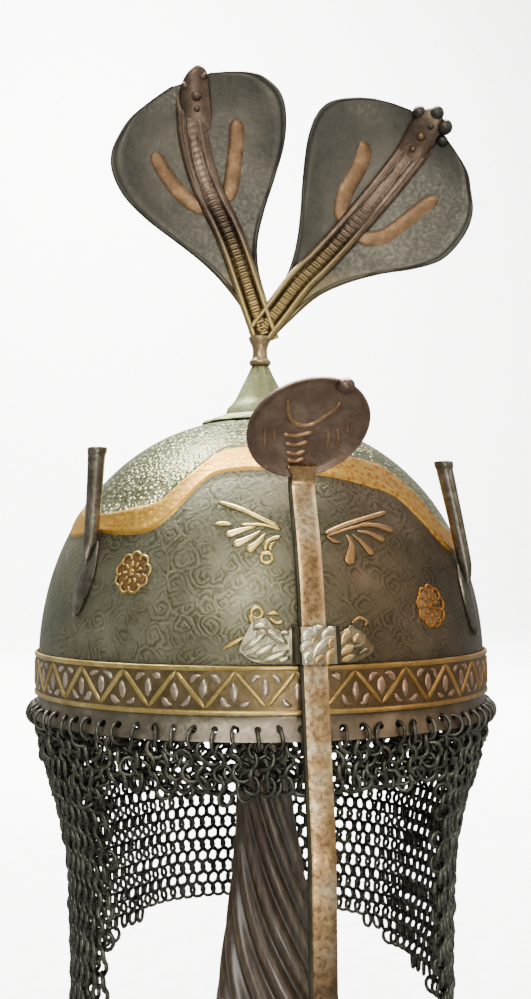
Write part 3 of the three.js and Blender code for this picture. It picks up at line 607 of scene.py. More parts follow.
# Cobras: a hood with a beaded edge, a neck of two ridges and a ladder of belly scales, a mark and a head.
cobras = {
    "left": {
        "lean": -19,
        # distance up the neck, middle across, half width and height of the flat head
        "head": [(106, 2.4, 6, 0.4), (112, 3.8, 7.2, 2.2), (118, 5, 7.9, 3.4), (124, 6.4, 8.2, 4.4),
                 (129, 8.2, 7.2, 4.6), (132.4, 9.8, 5.2, 3.6), (134.4, 10.8, 2.4, 1.6)],
        # distance up the neck, across, height and radius of each knob, and its material
        "knobs": [(127.4, 2.8, 2.6, 2.1, 1), (128.8, 12.4, 2.4, 2.1, 1), (122, 6.4, 1.9, 3.2, 1),
                  (116.6, 4.8, 1.6, 2.2, 1)],
        # distance up the neck, left half width, right half width, shift of the neck's middle
        "rows": [
            (-6, 5.4, 5.4, -1.2), (12, 6.8, 6.2, -0.9), (30, 12, 7.6, -0.4), (44, 18.6, 11.8, -0.2),
            (58, 27.6, 20.3, -0.9), (72, 37.1, 30.9, -2.6), (86, 43.9, 40.7, -3.1), (99, 45.5, 46, -2.1),
            (109, 42.4, 46.8, -0.4), (117, 35.3, 43.3, 2), (123, 27, 37.5, 3.8),
            (127.5, 15, 27, 6), (130, 5, 18, 8)],
        # the raised mark: distance up the neck and across
        "arms": [[(104, -22), (98, -22.4), (91, -20.8), (81, -17.4), (72.5, -12), (67, -5.5)],
                 [(106.5, 22), (100, 20.4), (92, 17), (83, 12.6), (75, 8.4), (68.5, 3.5)]],
    },
    "right": {
        "lean": 38,
        "head": [(106, 3.2, 6, 0.4), (113, 2.8, 7, 2.2), (120, 2.2, 7.8, 3.2), (126, 1.8, 8.2, 4.2),
                 (131, 1.6, 7.8, 4.4), (135, 1.6, 5.8, 3.4), (137.2, 1.6, 2.8, 1.6)],
        "knobs": [(133.6, 9, 0.7, 3.9, 0), (136, 1.8, 1, 3.7, 0), (132, -5.6, 0.8, 3.4, 0),
                  (128.6, 12, 0.4, 2.6, 0), (123.6, 2.4, 2.6, 2.4, 2), (129.6, 3.4, 2.6, 2.2, 0),
                  (117, 2.6, 1.8, 1.9, 2)],
        "rows": [
            (-6, 5.4, 5.4, -0.7), (12, 6.5, 7.2, -1), (30, 9.1, 10.3, -1.5), (44, 14.5, 17.2, 0),
            (58, 22.6, 27.8, 1.1), (70, 30.7, 39.9, 1.8), (80, 37, 47.5, 2.4), (90, 42.5, 49.6, 2.8),
            (101, 45.8, 48.8, 3.1), (110, 44.5, 45.1, 3.2), (118, 38, 37.8, 3.2), (124, 30, 31, 2.6),
            (128.5, 20, 20.5, 1.6), (131, 11, 12, 0.8)],
        "arms": [[(105.5, -21), (103.6, -17.4), (97, -14.4), (89, -13), (79, -11), (71.5, -6.5), (68, 0)],
                 [(106.5, 27.5), (97, 24.4), (86, 21.6), (76, 18.4), (69.5, 12.6), (67, 5)]],
    },
    "crestTurn": -10.5, "forkX": 2.3, "forkHeight": 184, "thickness": 2, "cup": 0.0035, "edge": 0.2,
    "scalePitch": 3.1, "armHalf": 4.2, "faceHalf": 6.4, "backShare": 0.14, "headLift": 1.4,
}


def nod(s):
    # The side view of a neck: it bows back and then nods forward
    return -7 * math.sin(math.pi * min(max(s, 0), 140) / 140) + 0.008 * max(0, s - 110) ** 2


def cobraPoint(cobra, s, across, forward):
    lean = math.radians(cobra["lean"])
    x = cobras["forkX"] + s * math.sin(lean) + across * math.cos(lean)
    z = cobras["forkHeight"] + s * math.cos(lean) - across * math.sin(lean)
    turn = math.radians(cobras["crestTurn"])
    across, depth = math.cos(turn), math.sin(turn)
    return Vector((x * across + forward * depth, x * depth - forward * across, z))


def hoodMiddle(s, across):
    return nod(s) + cobras["cup"] * across * across


def makeCobra(side, materials):
    cobra = cobras[side]
    rows = cobra["rows"]
    bottom, top = rows[0][0], rows[-1][0]
    thickness = cobras["thickness"]
    bm = bmesh.new()

    def hood(u, v):
        # round the hood's section: the front face from left to right, then the back
        s = bottom + (top - bottom) * (1 - (1 - v) ** 1.35)
        step = math.cos(2 * math.pi * u)
        face = math.sin(2 * math.pi * u)
        half = lookUp(rows, s, 1) if step < 0 else lookUp(rows, s, 2)
        across = step * half
        thick = thickness / 2 * min(1, 6 * (1 - abs(step)) + cobras["edge"])
        bead = 0.75 * math.exp(-((half - abs(across) - 1.3) / 0.8) ** 2) if s > 20 else 0
        out = thick + bead if face > 0 else -thick
        return cobraPoint(cobra, s, across, hoodMiddle(s, across) + (out if abs(face) > 1e-6 else 0))

    mapSheet(bm, 96, 90, hood, 0)
    closeEnds(bm)

    # neck: a narrow ladder of belly scales between two beaded grooves, and a broad ridge on each side
    start, end, pitch = -3, 126, cobras["scalePitch"]
    front = 1 - cobras["backShare"]

    def neck(u, v):
        s = start + (end - start) * v
        half = cobras["faceHalf"] + 1.5 * v
        middle = lookUp(rows, s, 3)
        if u > front:
            across = half - 2 * half * (u - front) / cobras["backShare"]
            return cobraPoint(cobra, s, middle + across, nod(s) - 0.6)
        across = -half + 2 * half * u / front
        crisp = 1 - min(max(0, (s - 58) / 26), 1) * 0.93
        side = max(0, 1 - ((abs(across) - 4.9) / (half - 4.7)) ** 2) ** 0.5 * (0.7 + 0.3 * crisp)
        bead = 0.5 + 0.5 * math.cos(2 * math.pi * s / (pitch * 0.5))
        groove = math.exp(-((abs(across) - 3.2) / 0.62) ** 2) * (0.75 + 0.25 * bead)
        phase = (s / pitch) % 1
        rung = math.sin(math.pi * min(1, phase * 1.6)) ** 0.8 if phase < 0.625 else 0
        ladder = max(0, 1 - (across / 2.9) ** 4)
        scales = ladder * (0.6 + 1.25 * rung * crisp + 0.7 * (1 - crisp))
        height = 1.2 + 1.5 * side + scales - 1.6 * groove * crisp
        if abs(across) > 4.9:
            height *= side ** 0.5
        return cobraPoint(cobra, s, middle + across, nod(s) + thickness / 2 + height * min(1, (1 - v) * 14))

    mapSheet(bm, 50, 320, neck, 1)
    closeEnds(bm)

    def onHood(s, across, out):
        return cobraPoint(cobra, s, across, hoodMiddle(s, across) + thickness / 2 + out)

    for line in cobra["arms"]:
        stroke(bm, onHood, line, cobras["armHalf"], 0.8, "line", steps=20, paint=2, around=12)

    # head: a flat wedge at the neck's end, with knobs for the eyes and the brow
    heads = cobra["head"]

    def head(u, v):
        s = heads[0][0] + (heads[-1][0] - heads[0][0]) * v
        turn = 2 * math.pi * u
        lift = math.sin(turn)
        forward = lookUp(heads, s, 3) * (lift if lift > 0 else 0.3 * lift)
        across = lookUp(heads, s, 1) + lookUp(heads, s, 2) * math.cos(turn)
        return cobraPoint(cobra, s, across, nod(s) + cobras["headLift"] + forward)

    mapSheet(bm, 32, 24, head, 1)
    closeEnds(bm)
    for s, across, forward, radius, colour in cobra["knobs"]:
        spot = cobraPoint(cobra, s, across, nod(s) + cobras["headLift"] + forward)
        ball = bmesh.ops.create_uvsphere(bm, u_segments=14, v_segments=10, radius=radius,
                                         matrix=Matrix.Translation(spot))
        for vert in ball["verts"]:
            for face in vert.link_faces:
                face.material_index = colour
    for face in bm.faces:
        face.smooth = True
    makePiece(f"cobra_crest_{side}", bm, materials, [f"cobra_{side}"], sharp=55)


# Nasal: a bar that slides in the bracket, a cobra's hood on top and a leaf tip below
nasal = {
    "width": 10.8, "thickness": 3.2, "slope": 0.17, "radius": 109.6, "height": 36, "bend": -40, "bottom": -92,
    "upper": [(68, 103.2), (80, 99.4), (90, 95), (98, 92), (102.5, 91.6), (108.5, 95.2)],
    "lean": 35, "twist": 8, "ovalTwist": 18, "halfWidth": 25.3, "halfHeight": 21.4,
    "out": 104.5, "middle": 122.6,
    # half width near the leaf-shaped tip, by height over the bar's bottom
    "tip": [(-16, 0.4), (-13, 3.4), (-8, 6.4), (-4, 6.5), (0, 5.6), (4, 5.4)],
    # from the middle of the disc's face over its rim to the back's middle: share of its size, how far out
    "disc": [(0, 1), (0.2, 1), (0.4, 1), (0.6, 1), (0.75, 1), (0.86, 1.02), (0.91, 1.15), (0.94, 1.5),
             (0.965, 1.75), (0.985, 1.7), (1, 1.2), (1.0, -0.3), (0.985, -0.9), (0.93, -1), (0.6, -1),
             (0.3, -1), (0, -1)],
    # across and up the disc: the mark's arc
    "arc": [(-7.8, 13), (-7.6, 6.5), (-5.9, 1.9), (-2, -0.3), (2.4, -0.2), (6.9, 2.8), (10.8, 5.8),
            (13, 9.4)],
    # middle, height and half width of each belly bar below it
    "belly": [(-3.9, -4.1, 6.4), (-4.5, -8.1, 5.1), (-5, -11.9, 4.4), (-5.4, -15, 3.9), (-6.1, -17.8, 3.2)],
    # small leaves beside them
    "sides": [[(-17, 2.4), (-17.6, -3), (-17.8, -8.2)], [(8.2, -2.7), (8.4, -7), (7.2, -12)],
              [(12, -2.8), (12.4, -7), (11.2, -11.9)], [(-13.4, 0), (-13.9, -5)], [(16, 0), (16.2, -6.4)]],
}


def barMiddle(z):
    # Distance of the bar's middle from the axis; below the bend it hangs nearly straight down
    bend = nasal["bend"]
    if z < bend:
        return nasal["radius"] - nasal["slope"] * (bend - nasal["height"]) + 0.012 * (bend - z)
    return nasal["radius"] - nasal["slope"] * (z - nasal["height"])


def barPath():
    heights = [nasal["bottom"] + up for up in (-16, -12, -8, -4, 0, 12)]
    heights += [-66, -52, -44, -40, -36, -28, -14, 0, 18, 36, 56]
    return [(barMiddle(z), z) for z in heights] + [(radius, z) for z, radius in nasal["upper"]]


def discPoint(across, up, forward):
    twist, lean = math.radians(nasal["twist"]), math.radians(nasal["lean"])
    x = across * math.cos(twist) - up * math.sin(twist)
    rise = across * math.sin(twist) + up * math.cos(twist)
    return Vector((x, -(nasal["out"] + rise * math.sin(lean) + forward * math.cos(lean)),
                   nasal["middle"] + rise * math.cos(lean) - forward * math.sin(lean)))


def discForward(across, up):
    return 3 * ((across / nasal["halfWidth"]) ** 2 + (up / nasal["halfHeight"]) ** 2) - 3


def onDisc(across, up, out):
    return discPoint(across, up, discForward(across, up) + 1 + out)


def makeNasal(materials):
    bm = bmesh.new()
    steps = 120
    line = smoothLine(barPath(), steps)
    half, face, bottom = nasal["width"] / 2, nasal["thickness"] / 2, nasal["bottom"]
    tip = [(bottom + up, wide) for up, wide in nasal["tip"]]

    def bar(u, v):
        i = round(v * steps)
        way = (line[min(i + 1, steps)] - line[max(i - 1, 0)]).normalized()
        z = line[i].y
        wide = lookUp(tip, z) if z < tip[-1][0] else half
        turn = 2 * math.pi * u
        # a flat back, a slightly crowned front and soft corners
        across = wide * max(-1, min(1, 1.25 * math.cos(turn)))
        out = face * max(-1, min(1, 1.5 * math.sin(turn)))
        if out > 0:
            out -= 0.55 * (across / wide) ** 4
        return Vector((across, -(line[i].x + out * way.y), z - out * way.x))

    # painted shade: the bar's left side face and the left edge of its front take material 3, the dark iron
    mapSheet(bm, 28, steps, bar, lambda u, v: 3 if 0.36 < u < 0.62 and v < 0.985 else 0)
    closeEnds(bm)

    tilt = math.radians(nasal["ovalTwist"])

    def disc(u, v):
        share, side = nasal["disc"][round(v * 16)]
        turn = 2 * math.pi * u
        long = share * nasal["halfWidth"] * math.cos(turn)
        short = share * nasal["halfHeight"] * math.sin(turn)
        across = long * math.cos(tilt) - short * math.sin(tilt)
        up = long * math.sin(tilt) + short * math.cos(tilt)
        return discPoint(across, up, discForward(across, up) + side)

    mapSheet(bm, 96, 16, disc, 1)
    stroke(bm, onDisc, nasal["arc"], 1.15, 0.8, steps=26, paint=2)
    for middle, up, wide in nasal["belly"]:
        bow = [(middle - wide, up + 1), (middle, up - 0.5), (middle + wide, up + 0.6)]
        stroke(bm, onDisc, bow, 1.15, 0.8, steps=12, paint=2)
    for leaf in nasal["sides"]:
        stroke(bm, onDisc, leaf, 0.9, 0.5, "leaf", steps=10, paint=2)

    def head(u, v):
        # a small head at the disc's upper right edge
        turn, rise = 2 * math.pi * u, math.pi * (v - 0.5)
        across, forward = 3.7 * math.cos(rise) * math.cos(turn), 3.4 * math.cos(rise) * math.sin(turn)
        return discPoint(14.8 + across, 17 + 3.2 * math.sin(rise), 1.2 + forward)

    mapSheet(bm, 20, 12, head, 1)
    makePiece("nasal", bm, materials, ["nasal_bar"], body="nasal", sharp=50)


# Bracket: a leaf-edged plate on the bowl with a carved bridge over the bar.
# Each row: angle from the front, lower edge, upper edge
bracket = {
    "leaf": [(-15, 34.2, 36.2), (-12.5, 31, 46), (-9.8, 29.8, 47.5), (-6, 29.8, 42), (-3, 29.8, 44),
             (3, 29.8, 44), (6, 29.8, 41), (9.2, 29.8, 44), (11.8, 31, 41.5), (14.3, 33.8, 35.6)],
    "left": -7.4, "right": 10.6, "bottom": 30.2, "top": 44.4, "slot": 1.9,
    # leaves laid on the plate: angle and height of root, middle and tip, half width, and material
    "carving": [
        ([(-14.8, 34.8), (-12, 38.2), (-9.2, 42.4)], 1.6, 0),
        ([(-9.8, 43.2), (-7.4, 40.4), (-4.8, 37.4)], 1.9, 0),
        ([(-12.8, 32.4), (-10.3, 34.8), (-7.2, 38)], 1.7, 0),
        ([(-10.8, 30.8), (-8, 32.4), (-4.6, 35)], 1.6, 0),
        ([(-7.4, 30.7), (-5.8, 31.6), (-4.4, 32.8)], 1.3, 0),
        ([(-12.4, 43.4), (-10.4, 44.6), (-8.6, 43.2)], 1.2, 0),
        ([(-12.6, 36.8), (-11.2, 40.4), (-11, 43.6)], 1.1, 0),
        ([(-13.6, 33), (-12.4, 33), (-10.6, 32)], 1.0, 1),
        ([(-6.8, 41), (-5.6, 41.8), (-4.4, 41.4)], 1.0, 0), ([(6, 36.6), (7.6, 40), (8.9, 43.2)], 2.0, 2),
        ([(5.9, 32.6), (7.6, 34.8), (10, 36.6)], 1.9, 2), ([(5.9, 30.6), (7.7, 31.4), (9.8, 33)], 1.4, 2),
        ([(9.2, 37.4), (10.2, 39.8), (11, 41)], 1.3, 2), ([(10.2, 33), (11.8, 34.2), (13.2, 34.8)], 1.1, 1),
        ([(8.6, 36.2), (10.2, 36), (12, 36.6)], 1.1, 1)],
    # facets on the bridge: x and height of the middle, turn, length, half width, and material
    "facets": [(-2, 40.8, 30, 8, 2.5, 0), (-2.2, 32.6, 48, 7.6, 2.4, 0), (2.6, 36.6, 46, 13, 1.9, 0),
               (6, 33, 62, 8, 1.9, 2), (5.2, 41.4, 40, 8, 1.9, 0), (-3.4, 36.8, 40, 6, 1.7, 0),
               (1.6, 31.8, 35, 6, 1.4, 2), (6.6, 38.2, 62, 6, 1.4, 2), (1, 43.2, 20, 6, 1.1, 0),
               (-0.2, 38.8, 60, 6, 1.0, 2)],
}


def makeBracket(materials):
    bm = bmesh.new()
    rows = bracket["leaf"]

    def plate(u, v):
        # round the plate's section, station by station along the brow
        angle = rows[0][0] + (rows[-1][0] - rows[0][0]) * v
        low, high = lookUp(rows, angle, 1), lookUp(rows, angle, 2)
        scallop = 0.45 * math.cos(angle * 2.4)
        corners = [(low, 0.45), (low, 1.2), (low + 0.3, 1.5), (high - 0.3 - scallop, 1.5),
                   (high - scallop, 1.2), (high - scallop, 0.45), (low, 0.45)]
        z, out = corners[round(u * 6)]
        return polar(angle, bowlRadius(z) + out, z)

    mapSheet(bm, 6, 60, plate, 1)
    closeEnds(bm)

    def onPlate(angle, z, out):
        return polar(angle, bowlRadius(z) + 1.45 + out, z)

    for line, half, colour in bracket["carving"]:
        stroke(bm, onPlate, line, half, 1.3, "leaf", steps=10, paint=colour)

    inner, slot = nasal["width"] / 2 + 0.5, bracket["slot"]
    left, right = bracket["left"], bracket["right"]

    def bridge(u, v):
        # the bridge has a narrow recess at each end; these recesses and its underside are painted dark with
        # the iron as painted shade
        z = bracket["bottom"] + (bracket["top"] - bracket["bottom"]) * v
        over = barMiddle(z) + nasal["thickness"] / 2 + 0.5
        root = bowlRadius(z) + 1
        bulge = 0.35 * math.sin(math.pi * v)
        corners = [(left, root), (left, over + 0.5), (left + 0.3, over + 0.6), (left + slot, over + 0.6),
                   (left + slot + 0.2, over + 2), (left + slot + 1, over + 2.3), (0, over + 2.4 + bulge),
                   (right - slot - 1, over + 2.3), (right - slot - 0.2, over + 1.9),
                   (right - slot, over + 0.6), (right - 0.3, over + 0.6), (right, over + 0.4), (right, root),
                   (inner, root), (inner, over), (-inner, over), (-inner, root), (left, root)]
        x, radius = corners[round(u * 17)]
        return Vector((x, -radius, z))

    # painted shade: the end recesses and the underside take material 3, the dark iron
    mapSheet(bm, 17, 14, bridge, lambda u, v: 3 if u < 0.22 or u > 0.53 else 1)
    closeEnds(bm)

    def onBridge(x, z, out):
        return Vector((x, -(barMiddle(z) + nasal["thickness"] / 2 + 2.6 + out), z))

    for x, z, turn, length, half, colour in bracket["facets"]:
        turn = math.radians(turn)
        reach = Vector((math.cos(turn), math.sin(turn))) * length / 2
        bend = Vector((-math.sin(turn), math.cos(turn))) * 0.7
        spot = Vector((x, z))
        line = [spot - reach, spot + bend, spot + reach]
        stroke(bm, onBridge, line, half, 0.9, "leaf", steps=10, paint=colour)
    makePiece("bracket", bm, materials, ["nasal_bracket"], sharp=50)


# Plume tubes: each has a flared mouth, a bored hollow and a leaf-shaped foot plate
plumes = {
    # Angles of the foot and the mouth, height of both, the mouth's distance from the axis
    "plume_tube_left": {"angles": (-58.9, -58.4), "foot": 81, "mouth": 119, "mouthRadius": 94.5},
    "plume_tube_right": {"angles": (52.8, 49.8), "foot": 71, "mouth": 114, "mouthRadius": 94},
}


def makePlume(name, materials):
    plume = plumes[name]
    foot, mouth, mouthRadius = plume["foot"], plume["mouth"], plume["mouthRadius"]
    footOut = bowlRadius(foot) + 3.9
    bore = 24
    boreEnd = mouthRadius + bore * (footOut - mouthRadius) / (mouth - foot)
    # height, distance from the axis, the tube's own radius
    outside = [(foot + up, bowlRadius(foot + up) + out, size) for up, out, size in
               ((-13, 1.5, 0.6), (-10, 2.2, 1.4), (-6, 3, 2.3))]
    outside += [(foot, footOut, 3.1), ((foot + mouth) / 2, (footOut + mouthRadius) / 2, 3.45),
                (mouth - 4, mouthRadius + 0.5, 3.8)]
    line = smoothLine(outside, 40)
    # the mouth's lip, then down into the bore
    line += [Vector((mouth - down, mouthRadius + out, size)) for down, out, size in
             ((3, 0.35, 3.85), (2.6, 0.3, 4.15), (0.6, 0.05, 4.3), (0, 0, 4.15), (0, 0, 3.7), (1, 0.1, 3.5))]
    line += [Vector((mouth - bore, boreEnd, size)) for size in (2.8, 0)]
    line = [Vector((line[0].x, line[0].y, 0))] + line
    last = len(line) - 1
    bm = bmesh.new()

    def tube(u, v):
        z, radius, size = line[round(v * last)]
        share = max(0, (z - foot) / (mouth - foot))
        angle = plume["angles"][0] + share * (plume["angles"][1] - plume["angles"][0])
        turn = 2 * math.pi * u
        side = polar(angle + 90, 1, 0)
        return polar(angle, radius + size * math.sin(turn), z) + side * size * math.cos(turn)

    # painted shade: the bore's inner wall and its bottom take material 1, the dark iron
    mapSheet(bm, 28, last, tube, lambda u, v: 1 if v * last > last - 2.5 else 0)
    # the foot plate: height over the tube's foot, half width
    leaf = [(-34, 0.3), (-31, 2.6), (-27, 4.4), (-22, 6), (-18, 6.6), (-13, 6.1), (-8, 4.9), (-4, 3.2),
            (-2, 1.8)]

    def plate(u, v):
        drop = leaf[0][0] + (leaf[-1][0] - leaf[0][0]) * v
        z = foot + drop
        half = math.degrees(lookUp(leaf, drop, 1) / bowlRadius(z))
        turn = 2 * math.pi * u
        out = 0.4 + (1.35 if math.sin(turn) > 0.01 else 0) * abs(math.sin(turn)) ** 0.5
        out += 0.55 * math.exp(-(math.cos(turn) / 0.16) ** 2) if math.sin(turn) > 0 else 0
        return polar(plume["angles"][0] + half * math.cos(turn), bowlRadius(z) + out, z)

    mapSheet(bm, 24, 30, plate, 0)
    closeEnds(bm)
    makePiece(name + "_turned", bm, materials, [name], sharp=45)


# Mail: rows of riveted rings, each hung through two above and two below, and loops through the rim's holes
mail = {
    "columns": 96, "ring": 3.75, "wire": 1.04, "row": 5.95, "firstRow": -3, "lastRow": -162, "tilt": 25,
    "loop": 4.2, "loopWire": 0.8, "tangle": 170, "tangleSize": 0.8,
    # Angle from the front, height of the hem
    "hem": [
        (-180, -112), (-169, -112), (-158, -113), (-146, -116), (-134, -121), (-122, -129), (-112, -133),
        (-101, -139), (-90, -146), (-81, -154), (-73, -160), (-67, -157), (-64, -138), (-61, -113),
        (-58.5, -85), (-56, -58), (-53.5, -36), (-51, -23), (-38, -22), (-25, -22), (-12, -22), (0, -22),
        (12, -22), (25, -23), (37.5, -24), (41, -42), (45, -64), (49, -87), (53, -110), (56, -137),
        (59, -155), (66, -160), (76, -154), (88, -145), (101, -139), (112, -133), (122, -129), (134, -121),
        (146, -116), (158, -113), (169, -112), (180, -112)],
    # Height, distance from the axis
    "drape": [(-165, 87), (-110, 87.6), (-64, 90), (-40, 95), (-20, 101), (-8, 103.6), (0, 104.8)],
}


def straightUp(table, key, column=1):
    # A table read along straight lines
    for low, high in zip(table, table[1:]):
        if key <= high[0]:
            share = max(0, (key - low[0]) / (high[0] - low[0]))
            return low[column] + share * (high[column] - low[column])
    return table[-1][column]


def ringMesh(radius, wire, around, segments):
    # One ring: a small circle of the wire's section spun round
    bm = bmesh.new()
    bmesh.ops.create_circle(bm, segments=segments, radius=wire,
                            matrix=Matrix.Translation((radius, 0, 0)) @ Matrix.Rotation(math.pi / 2, 4, "X"))
    bmesh.ops.spin(bm, geom=bm.verts[:] + bm.edges[:], cent=(0, 0, 0), axis=(0, 0, 1), angle=2 * math.pi,
                   steps=around, use_merge=True, use_normal_flip=False, use_duplicate=False)
    bmesh.ops.remove_doubles(bm, verts=bm.verts, dist=0.01)
    bmesh.ops.recalc_face_normals(bm, faces=bm.faces)
    for face in bm.faces:
        face.smooth = True
    mesh = bpy.data.meshes.new("ring")
    bm.to_mesh(mesh)
    bm.free()
    return mesh


def hang(bm, ring, spot, outward, down, tilt, lean=0.0, size=1.0):
    # One ring set in the sheet: its hole looks outward, turned by tilt about the down line, then by lean
    side = down.cross(outward).normalized()
    axes = Matrix((side, -down, outward)).transposed().to_4x4()
    matrix = (Matrix.Translation(spot) @ axes @ Matrix.Rotation(math.radians(tilt), 4, "Y")
              @ Matrix.Rotation(math.radians(lean), 4, "X") @ Matrix.Scale(size, 4))
    copy = ring.copy()
    copy.transform(matrix)
    bm.from_mesh(copy)
    bpy.data.meshes.remove(copy)


def makeMail(materials):
    rng = random.Random(11)
    ring = ringMesh(mail["ring"], mail["wire"], 11, 5)
    loop = ringMesh(mail["loop"], mail["loopWire"], 16, 6)
    step = 360 / mail["columns"]
    count = 0
    halves = {"mail_left": bmesh.new(), "mail_right": bmesh.new()}

    def half(angle):
        return halves["mail_left" if angle < 0 else "mail_right"]

    z, row = mail["firstRow"], 0
    while z > mail["lastRow"]:
        # a fold reaches full depth at the hem; the top rows hang loosely
        loose = max(0.12, 1 - (mail["firstRow"] - z) / 26)
        radius = lookUp(mail["drape"], z, 1)
        slope = (lookUp(mail["drape"], z + 2, 1) - lookUp(mail["drape"], z - 2, 1)) / 4
        for column in range(mail["columns"]):
            angle = -180 + (column + (row % 2) / 2) * step
            hem = straightUp(mail["hem"], angle)
            if z < hem + 2.2:
                continue
            fold = 1.2 * min(1, z / hem) * math.cos(math.radians(9 * angle))
            outward = (polar(angle, 1, -slope)).normalized()
            down = (polar(angle, -slope, -1)).normalized()
            down = (down - outward * down.dot(outward)).normalized()
            spot = polar(angle + rng.gauss(0, 0.22 * loose + 0.05), radius + fold + rng.gauss(0, 0.4 * loose),
                         z + rng.gauss(0, 0.55 * loose))
            tilt = (mail["tilt"] if row % 2 else -mail["tilt"]) + rng.gauss(0, 16 * loose + 3)
            lean = rng.gauss(0, 14 * loose + 2.5)
            hang(half(angle), ring, spot, outward, down, tilt, lean, 1 + rng.gauss(0, 0.03))
            count += 1
        z -= mail["row"] * (0.8 if row < 6 else 1)
        row += 1
    # the first rows hang in a tangle: more rings lie across them at all angles
    for k in range(mail["tangle"]):
        angle = -180 + 360 * k / mail["tangle"]
        z = rng.uniform(-23 if abs(angle) < 50 else -34, -3)
        spot = polar(angle + rng.gauss(0, 1), lookUp(mail["drape"], z, 1) + rng.uniform(-1.4, 1), z)
        way = (polar(angle, 1, 0) + polar(angle + 90, rng.gauss(0, 0.8), rng.gauss(0, 0.6))).normalized()
        down = (Vector((0, 0, -1)) - way * -way.z).normalized()
        hang(half(angle), ring, spot, way, down, 0, 0, mail["tangleSize"])
        count += 1
    print("mail rings:", count)
    # a loop through each of the rim's holes; the two beside the bar hang calmly, clear of it
    for i in range(bowl["holes"]):
        angle = (i + 0.5) / bowl["holes"] * 360
        angle = angle - 360 if angle > 180 else angle
        calm = 0.3 if abs(angle) < 6 else 1
        spot = polar(angle, 106.3 - (1 - calm) * 0.6, 1.3 + rng.gauss(0, 0.25))
        down = (polar(angle, 0, -1) + polar(angle + 90, rng.gauss(0, 0.12), 0)).normalized()
        side = 90 + rng.gauss(0, 16 * calm)
        hang(half(angle), loop, spot, polar(angle, 1, 0), down, side)
    for name, bm in halves.items():
        makePiece(name, bm, materials, ["mail_curtain"])


# Stand: a column with turning flutes, a domed cap under the crown and a round foot
stand = {
    "flutes": 12, "twist": -1.2, "depth": 0.16, "top": 111, "lean": 0.05, "leanTop": -17,
    # Height, radius of the column at the ridges between its flutes
    "shape": [(-225.6, 45), (-216, 39), (-200, 35.5), (-178, 33), (-155, 30.5), (-132, 27.3), (-109, 23.2),
              (-86, 19), (-63, 15.6), (-40, 13.3), (-17, 12.4), (10, 12), (35, 11.9), (60, 12), (85, 12.6),
              (111, 14)],
}


def makeStand(materials):
    bm = bmesh.new()
    bottom, top = stand["shape"][0][0], stand["top"]

    def column(u, v):
        z = bottom + (top - bottom) * v
        radius = lookUp(stand["shape"], z, 1)
        turn = 2 * math.pi * u * stand["flutes"]
        # rounded ridges with narrow grooves between them
        groove = (0.5 - 0.5 * math.cos(turn)) ** 1.6
        spot = polar(u * 360 + stand["twist"] * z, radius * (1 - stand["depth"] * groove), z)
        return spot + Vector((stand["lean"] * max(0, stand["leanTop"] - z), 0, 0))

    mapSheet(bm, stand["flutes"] * 14, 170, column, 0)
    closeEnds(bm)
    makePiece("column", bm, materials, ["stand_column"])

    reach = bowl["radius"] - bowl["wall"]

    def lining(radius):
        turn = math.acos(radius / reach)
        return bowlHeight(radius * bowl["radius"] / reach) - bowl["wall"] * math.sin(turn)

    profile = [(0, 111.3), (8, 111.3), (14.5, 111.4), (15.2, 111.9), (20, 112.5), (28, 114), (34, 118),
               (36.4, 120.4), (37.2, 121.6)]
    profile += [(radius, lining(radius) - 0.6) for radius in (37, 34, 30, 25, 20, 14, 8, 0)]
    makePiece("cap", spinProfile(profile, 72), materials, ["stand_cap"], sharp=40)

    floor = -rimHeight
    profile = [(radius, floor + up) for radius, up in
               ((0, 0), (68.5, 0), (70, 0.5), (70.9, 1.5), (71, 2.6), (70.5, 4.6), (69.4, 6.2), (67.6, 6.9),
                (66.4, 7.3), (65.8, 8.4), (64.6, 9.4), (60, 11), (55, 12.8), (51, 13.8), (48, 14), (0, 14))]
    bm = spinProfile(profile, 128)
    bmesh.ops.translate(bm, verts=bm.verts, vec=(stand["lean"] * (stand["leanTop"] - floor), 0, 0))
    makePiece("foot", bm, materials, ["stand_foot"], sharp=40)


# Finishes

def waxedWood(name):
    # Dark stained wood under wax: soft streaks along the grain, painted shade with dark dirt in the grooves,
    # a dull sheen on top
    material, tree, shader, place = startMaterial(name, 0.0, 0.36)
    stretch = addNode(tree, "Mapping", {"Vector": place, "Scale": (1, 1, 0.1)})
    grain = addNode(tree, "TexNoise", {"Vector": stretch, "Scale": 500, "Detail": 6, "Roughness": 0.6,
                                       "Distortion": 0.4})
    tone = addNode(tree, "ValToRGB", {"Fac": grain},
                   stops=[(0.3, "#241c10"), (0.5, "#372d1e"), (0.72, "#504430")])
    blotch = addNode(tree, "TexNoise", {"Vector": place, "Scale": 30, "Detail": 3})
    warm = addNode(tree, "ValToRGB", {"Fac": blotch}, stops=[(0.4, "#ffffff"), (0.7, "#d09a68")])
    mixed = blend(tree, 0.6, tone, warm, "MULTIPLY")
    # painted shade and dirt: the ambient occlusion turns the grooves nearly black
    addShadeAndDirt(tree, shader, mixed, "#120e07", 0.006, [(0.45, 0.95), (0.98, 0.0)])
    bump = addNode(tree, "Bump", {"Strength": 0.5, "Distance": 0.0002, "Height": grain})
    tree.links.new(bump, shader.inputs["Normal"])
    shader.inputs["Coat Weight"].default_value = 0.35
    shader.inputs["Coat Roughness"].default_value = 0.25
    return material


